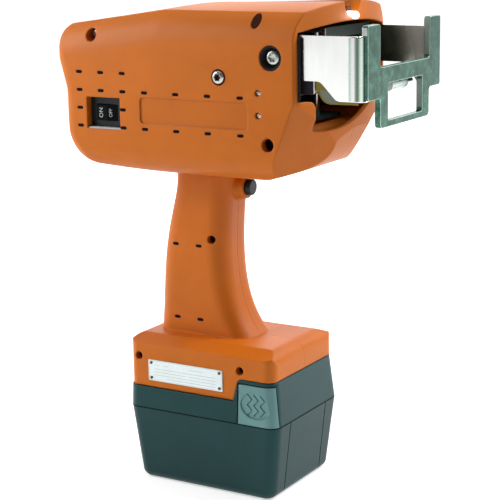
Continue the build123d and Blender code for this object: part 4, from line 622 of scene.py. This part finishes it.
# Near-black sheets of painted shade between the right arm and the housing, bright strips standing in for
# highlights on the liner's edge, the hood's edge and the prong above the fold, the right arm's fold at the
# plate with painted reflections, and the grey face of the liner.
# Each has an outline, y of its two faces, material, slot and width of rounding.
MOUTH_SLABS = [
    # painted shade: a near-black sheet where the liner lies in shade
    ("arm_pad", [(74.0, 280.0), (74.0, 267.8), (87.2, 267.8), (88.2, 268.8), (88.2, 280.0)],
     -47.2, -46.5, "pad_black", "black_plastic", 0.15),
    # painted highlight: a bright strip for the light on the liner's edge
    ("arm_pad_edge", [(88.4, 277.0), (88.4, 268.6), (89.3, 268.6), (89.3, 277.0)],
     -47.4, -46.5, "spring_steel", "liner_steel", 0.15),
    # painted shade: a near-black sheet on the mouth's inner wall, seen mirrored in the arm
    ("mouth_lining", [(66.0, 303.0), (66.0, 263.2), (80.0, 263.2), (81.6, 265.0), (81.6, 301.0), (79.0, 303.0)],
     -51.0, -50.5, "pad_black", "black_plastic", 0.15),
    # the hood's near edge in bright metal, standing in for its highlight
    ("hood_edge", [(78.0, 305.0), (78.0, 298.4), (81.6, 298.4), (81.6, 305.0)],
     -19.2, -18.0, "spring_steel", "chassis_steel", 0.15),
    ("arm_fold", [(113.7, 302.5), (113.7, 265.6), (124.2, 265.6), (124.2, 303.2), (122.6, 302.5)],
     -51.6, -48.45, "arm_fold", "arm_steel", 0.04),
    # painted highlight: a thin bright sheet on the prong's side
    ("prong_strip", [(123.0, 308.6), (123.0, 304.0), (126.2, 304.0), (126.2, 308.6)],
     -51.5, -51.3, "spring_steel", "plate_steel", 0.04),
    ("liner_face", [(92.6, 269.4), (94.2, 266.4), (96.8, 263.9), (100.5, 263.2), (104.0, 263.2), (104.0, 271.0),
                    (92.6, 271.0)],
     -46.6, -46.5, "liner_grey", "liner_steel", 0.04),
]
for slab in MOUTH_SLABS:
    slab_piece(*slab)


# Lines that find the near side's surface start out here
OUTSIDE_Y = -200


def touch_along_y(name, x, z, start_y=OUTSIDE_Y):
    """Place, in metres, and normal where a line along +Y first meets a CAD node."""
    return nodes[name].ray_cast(Vector((x * MM, start_y * MM, z * MM)), Vector((0, 1, 0)))[1:3]


# Thin bright sheets that paint highlights on the inner sides of the far prong and of the window: z looked at,
# low z, high z
PAINTED_HIGHLIGHT_FACES = [("prong_inner_face", 300.0, 285.2, 309.3), ("window_inner_face", 262.0, 254.6, 272.0)]
PAINTED_HIGHLIGHT_X = (123.1, 126.3)
PAINTED_HIGHLIGHT_THICKNESS = 0.06
PLATE_MIDDLE_X = 124.7
for name, z, low, high in PAINTED_HIGHLIGHT_FACES:
    y = touch_along_y("marking_plate", PLATE_MIDDLE_X, z, 0)[0].y / MM
    slab_piece(name, box_outline(*PAINTED_HIGHLIGHT_X, low, high), y - PAINTED_HIGHLIGHT_THICKNESS, y,
               "ground_edge", "plate_steel", 0.02)


# Dark sheets that paint the shade in holes and slots of the right shell. A sheet has x and z of its centre, two
# half sizes, the power of its superellipse and the probe's distance; vents share all but the centre
COVER_ROWS = 16
COVER_LIFT = 0.04
VENT_COVER = (2.3, 1.02, 3.5, 3.2)
HEAD_VENT_X, HEAD_VENT_PITCH_X = -79.6, 16.9
HEAD_VENT_Z, HEAD_VENT_PITCH_Z = 276.2, 11.6
BESIDE_SWITCH = ((2, 1), (3, 1))
LOGO_VENT_X, LOGO_VENT_PITCH_X = -29.0, 23.5
LOGO_VENT_Z = (264.6, 241.4)
GRIP_VENT_X, GRIP_VENT_PITCH_X = -32.0, 18.0
GRIP_VENT_Z = (109.8, 160.1)


def cover(bm, x, z, half_x, half_z, power, probe):
    """A dark superelliptic sheet of painted shade. The shell beside it, at the probe's distance, gives its
    depth.
    """
    rows = []
    for k in range(COVER_ROWS + 1):
        t = math.cos(math.pi * k / COVER_ROWS)
        w = half_x * max(0.0, 1 - abs(t) ** power) ** (1 / power)
        row_z = z + t * half_z
        y = touch_along_y("housing_right", x + probe, row_z)[0].y / MM - COVER_LIFT
        rows.append([bm.verts.new((x - w, y, row_z)), bm.verts.new((x + w, y, row_z))])
    for a, b in zip(rows, rows[1:]):
        bm.faces.new((a[0], a[1], b[1], b[0]))


vents = [(HEAD_VENT_X + HEAD_VENT_PITCH_X * column, HEAD_VENT_Z - HEAD_VENT_PITCH_Z * row)
         for row in range(4) for column in range(3) if (row, column) not in BESIDE_SWITCH]
vents += [(LOGO_VENT_X + LOGO_VENT_PITCH_X * column, z) for z in LOGO_VENT_Z for column in range(4)]
vents += [(GRIP_VENT_X + GRIP_VENT_PITCH_X * column, z) for z in GRIP_VENT_Z for column in range(2)]
COVERS = [
    ("vent_shadows", [(x, z, *VENT_COVER) for x, z in vents], "seam_shadow"),
    ("mid_screw_shadow", [(26.3, 276.6, 5.1, 5.1, 2.0, 12.0)], "hole_brown"),
    ("top_hole_shadow", [(51.4, 311.2, 3.2, 4.2, 2.0, -8.0)], "hole_brown"),
]
for name, sheets, mat in COVERS:
    bm = bmesh.new()
    for sheet in sheets:
        cover(bm, *sheet)
    link(name, bm, "tool", mat)

# The lower lip of the switch pocket, pale with a painted reflection
slab_piece("pocket_lip", box_outline(-73.9, -48.7, 239.85, 240.7), -53.9, -49.7,
           "white_ink", "black_plastic", 0.1)


def stand_in(name, ending, mesh, body):
    """A piece that is shown in place of a CAD node."""
    obj = show(name + ending, mesh)
    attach(obj, body)
    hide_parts(name)
    return obj


# Latches with the thumb dimple and its wave lines drawn out away from the corner. Centre and reach are along X
# and Z, points nearer the middle plane than the deepest one stay, and so does the front edge
DIMPLE_CENTRE = (44.0, 64.8)
DIMPLE_REACH = (9.65, 9.15)
DIMPLE_DEEPEST = 40.9
DIMPLE_FRONT = 53.5
DIMPLE_STRETCH = 1.19
for name, body in (("latch_right", "latch_r"), ("latch_left", "latch_l")):
    mesh = nodes[name].data.copy()
    for v in mesh.vertices:
        across = (v.co.x / MM - DIMPLE_CENTRE[0]) / DIMPLE_REACH[0]
        rise = (v.co.z / MM - DIMPLE_CENTRE[1]) / DIMPLE_REACH[1]
        if across ** 2 + rise ** 2 <= 1 and abs(v.co.y) / MM > DIMPLE_DEEPEST:
            v.co.x = DIMPLE_FRONT * MM - (DIMPLE_FRONT * MM - v.co.x) * DIMPLE_STRETCH
    stand_in(name, "_face", mesh, body)

# Springs shown in place of their CAD nodes, on their bodies: joint, body, axis, fixed end, share of length kept
SPRINGS = {
    "trigger_spring": ("trigger_press", "tool", (1, 0, 0), (-0.9, 0, 199), 0.53),
    "pin_spring": ("pin_stroke", "cross_stage", (1, 0, 0), (87.4, 4, 273), 0.5),
    "latch_spring_right": ("latch_right_press", "battery", (0, 1, 0), (32.8, -36.5, 64.8), 0.43),
    "latch_spring_left": ("latch_left_press", "battery", (0, 1, 0), (32.8, 36.5, 64.8), 0.43),
}
for name, (joint, body, axis, fixed, keep) in SPRINGS.items():
    obj = stand_in(name, "_coil", nodes[name].data.copy(), body)
    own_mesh(obj)

# Two bright pin ends in the small holes on the side
SIDE_PIN_X = 54.0
SIDE_PIN_Y = -52.9
SIDE_PIN_RINGS = [(-9.0, 1.5), (-9.0, 1.9), (0, 1.9), (0.35, 1.75), (0.55, 1.3), (0.62, 0.7), (0.4, 0.5),
                  (0.35, 0.02)]
for name, z in (("high", 268.1), ("low", 254.4)):
    turned_piece("side_pin_" + name, (SIDE_PIN_X, SIDE_PIN_Y, z), SIDE_PIN_RINGS, -1,
                 "screw_steel")

# The lit dome of the sight light
DOME_CENTRE = (92.0, 1.4, 312.1)
DOME_RINGS = [(-8.0, 2.3), (0.0, 2.3), (0.5, 2.22), (1.0, 2.0), (1.5, 1.6), (1.85, 1.1), (2.05, 0.5),
              (2.1, 0.02)]
bm = bmesh.new()
turned(bm, DOME_CENTRE, DOME_RINGS, along_x=True)
smooth(link("light_dome", bm, "tool", "lens", ("sight_light",)), DOME_EDGE_ANGLE)

# Parting line round the battery pack
SEAM_LOW_Z, SEAM_HIGH_Z = 50.68, 51.28
SEAM_HALF_X, SEAM_HALF_Y = 57.66, 43.56
SEAM_CORNER = 8.0
SEAM_DEPTH = 0.5
CORNER_STEPS = 8


def rounded_rectangle(inset):
    """Points round the pack at its parting line."""
    pts = []
    for cx, cy, start in ((1, 1, 0), (-1, 1, 90), (-1, -1, 180), (1, -1, 270)):
        for k in range(CORNER_STEPS + 1):
            t = math.radians(start + 90 * k / CORNER_STEPS)
            pts.append((cx * (SEAM_HALF_X - SEAM_CORNER) + (SEAM_CORNER - inset) * math.cos(t),
                        cy * (SEAM_HALF_Y - SEAM_CORNER) + (SEAM_CORNER - inset) * math.sin(t)))
    return pts


bm = bmesh.new()
loops = [[bm.verts.new((x, y, z)) for x, y in rounded_rectangle(inset)]
         for inset, z in ((0, SEAM_LOW_Z), (0, SEAM_HIGH_Z),
                          (SEAM_DEPTH, SEAM_HIGH_Z), (SEAM_DEPTH, SEAM_LOW_Z))]
join_rings(bm, zip(loops, loops[1:] + loops[:1]))
smooth(link("pack_seam", bm, "battery", "seam_shadow"))

# Fine blank lines on the nameplate: height of each row above the plate's foot, and its runs along the plate
TEXT_ROWS = [(10.9, ((4.5, 9.5), (11.5, 15.5), (32.0, 43.0))), (8.3, ((4.5, 52.5),)),
             (6.2, ((4.5, 30.0), (32.0, 52.5))), (4.1, ((4.5, 52.5),)), (2.2, ((14.0, 52.5),))]
TEXT_HEIGHT = 0.22
FRAME_INSET = 0.5
FRAME_WIDTH = 0.15
INK_RISE = 0.02
INK_SINK = 0.05
(low_x, face_y, low_z), (high_x, _, high_z) = ([c / MM for c in corner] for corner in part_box("nameplate"))
x0, x1, z0, z1 = low_x + FRAME_INSET, high_x - FRAME_INSET, low_z + FRAME_INSET, high_z - FRAME_INSET
bars = [(x0, x1, z0, z0 + FRAME_WIDTH), (x0, x1, z1 - FRAME_WIDTH, z1),
        (x0, x0 + FRAME_WIDTH, z0, z1), (x1 - FRAME_WIDTH, x1, z0, z1)]
bars += [(low_x + a, low_x + b, low_z + height, low_z + height + TEXT_HEIGHT)
         for height, runs in TEXT_ROWS for a, b in runs]
bm = bmesh.new()
for bar in bars:
    slab_xz(bm, box_outline(*bar), face_y - INK_RISE, face_y + INK_SINK)
smooth(link("nameplate_lines", bm, "tool", "ink"))

# Letters on the two faces of the rocker
LETTER_Z = 250.0
LETTER_RISE = 0.04
LETTER_CURVE_STEPS = 3


def letters(name, text, x, size):
    """Raised letters that read from below, laid on the rocker."""
    curve = bpy.data.curves.new(name, "FONT")
    curve.body = text
    curve.size = size * MM
    curve.align_x = "CENTER"
    curve.align_y = "CENTER"
    curve.extrude = LETTER_RISE * MM
    curve.resolution_u = LETTER_CURVE_STEPS
    tmp = show(name + "_curve", curve)
    mesh = bpy.data.meshes.new_from_object(tmp.evaluated_get(bpy.context.evaluated_depsgraph_get()))
    bpy.data.objects.remove(tmp)
    place, normal = touch_along_y("power_rocker", x, LETTER_Z)
    up = Vector((-1, 0, 0))
    up = (up - normal * up.dot(normal)).normalized()
    side = up.cross(normal)
    mesh.transform(Matrix(((side.x, up.x, normal.x, place.x), (side.y, up.y, normal.y, place.y),
                           (side.z, up.z, normal.z, place.z), (0, 0, 0, 1))))
    mesh.materials.clear()
    mesh.materials.append(MATS["white_ink"])
    obj = show(name, mesh)
    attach(obj, "rocker")


letters("rocker_on", "ON", -65.2, 4.2)
letters("rocker_off", "OFF", -58.2, 3.2)


# Stage: a pale floor that turns white with distance, and a white backdrop behind it. Lengths in metres
FLOOR_SIZE = 6.0
FLOOR_SCALE = 3.0
FLOOR_GLOW_NEAR, FLOOR_GLOW_FAR = 0.5, 1.0
GLOW_START, GLOW_END = 0.12, 0.6
WORLD_FILL = 0.13
WORLD_COLOR = (0.95, 0.98, 1.0, 1)
BACKDROP_FADE = 0.35


def floor_material():
    """Takes the object's shadow. The camera, mirrors and glass also see its glow."""
    mat = bpy.data.materials.new("pale_floor")
    tree = empty_tree(mat)
    out = tree.nodes.new("ShaderNodeOutputMaterial")
    diffuse = tree.nodes.new("ShaderNodeBsdfDiffuse")
    tone = noise(tree, coords(tree), FLOOR_SCALE, 2.0)
    tree.links.new(ramp(tree, tone, [(0.3, grey(0.86)), (0.7, grey(0.9))]), diffuse.inputs["Color"])
    glowing = tree.nodes.new("ShaderNodeEmission")
    glowing.inputs["Color"].default_value = WHITE
    far = tree.nodes.new("ShaderNodeVectorMath")
    far.operation = "LENGTH"
    tree.links.new(coords(tree), far.inputs[0])
    lift = spread_range(tree, far.outputs["Value"], GLOW_START, GLOW_END, FLOOR_GLOW_NEAR, FLOOR_GLOW_FAR)
    tree.links.new(lift, glowing.inputs["Strength"])
    path = tree.nodes.new("ShaderNodeLightPath").outputs
    seen = reckon(tree, "MAXIMUM", path["Is Camera Ray"], path["Is Glossy Ray"])
    seen = reckon(tree, "MAXIMUM", seen, path["Is Transmission Ray"])
    both = tree.nodes.new("ShaderNodeAddShader")
    mix = tree.nodes.new("ShaderNodeMixShader")
    tree.links.new(diffuse.outputs[0], both.inputs[0])
    tree.links.new(glowing.outputs[0], both.inputs[1])
    tree.links.new(seen, mix.inputs["Fac"])
    tree.links.new(diffuse.outputs[0], mix.inputs[1])
    tree.links.new(both.outputs[0], mix.inputs[2])
    tree.links.new(mix.outputs[0], out.inputs["Surface"])
    return mat


def set_floor():
    """The floor that the pack stands on."""
    mesh = bpy.data.meshes.new("floor")
    bm = bmesh.new()
    bmesh.ops.create_grid(bm, x_segments=1, y_segments=1, size=FLOOR_SIZE)
    bm.to_mesh(mesh)
    bm.free()
    floor = show("floor", mesh)
    mesh.materials.append(floor_material())


def set_world():
    """The white backdrop stands behind the object, and the room in front of it is dim."""
    world = bpy.data.worlds.new("studio")
    bpy.context.scene.world = world
    tree = empty_tree(world)
    out = tree.nodes.new("ShaderNodeOutputWorld")
    soft = tree.nodes.new("ShaderNodeBackground")
    soft.inputs["Color"].default_value = WORLD_COLOR
    soft.inputs["Strength"].default_value = WORLD_FILL
    white = tree.nodes.new("ShaderNodeBackground")
    white.inputs["Color"].default_value = WHITE
    white.inputs["Strength"].default_value = 1.0
    split = tree.nodes.new("ShaderNodeSeparateXYZ")
    tree.links.new(tree.nodes.new("ShaderNodeTexCoord").outputs["Generated"], split.inputs[0])
    behind = spread_range(tree, split.outputs["Y"], -BACKDROP_FADE, BACKDROP_FADE)
    path = tree.nodes.new("ShaderNodeLightPath").outputs
    mirrored = reckon(tree, "MULTIPLY", path["Is Glossy Ray"], behind)
    seen = reckon(tree, "MAXIMUM", path["Is Camera Ray"], path["Is Transmission Ray"])
    mix = tree.nodes.new("ShaderNodeMixShader")
    tree.links.new(reckon(tree, "MAXIMUM", seen, mirrored), mix.inputs["Fac"])
    tree.links.new(soft.outputs[0], mix.inputs[1])
    tree.links.new(white.outputs[0], mix.inputs[2])
    tree.links.new(mix.outputs[0], out.inputs["Surface"])


# Lights: place, point aimed at, two sides, power. Lengths in metres, power in watts
LIGHTS = [
    ("key", (-0.56, -0.38, 0.5), (0, 0, 0.2), (0.45, 0.45), 4.4),
    ("side", (0.95, 0.8, 1.25), (0, 0, 0.2), (1.1, 1.1), 27),
    ("top", (-0.1, 0.1, 1.7), (0, 0, 0.25), (1.4, 1.4), 6),
    ("back", (-0.9, 1.6, 0.5), (0, 0, 0.25), (1.8, 0.9), 9),
]
LED_POWER = 0.003
LED_RADIUS = 0.0015
LED_PLACE = (0.0955, 0.0018, 0.3116)


def area(name, place, target, size, power):
    """A soft box aimed at a point."""
    light = bpy.data.lights.new(name, "AREA")
    light.energy = power
    light.shape = "RECTANGLE"
    light.size, light.size_y = size
    obj = show(name, light)
    obj.location = place
    obj.rotation_euler = (Vector(target) - Vector(place)).to_track_quat("-Z", "Y").to_euler()


set_floor()
set_world()
for light in LIGHTS:
    area(*light)
led = bpy.data.lights.new("led", "POINT")
led.energy = LED_POWER
led.shadow_soft_size = LED_RADIUS
show("led", led).location = LED_PLACE

bpy.context.scene.view_settings.view_transform = "Standard"
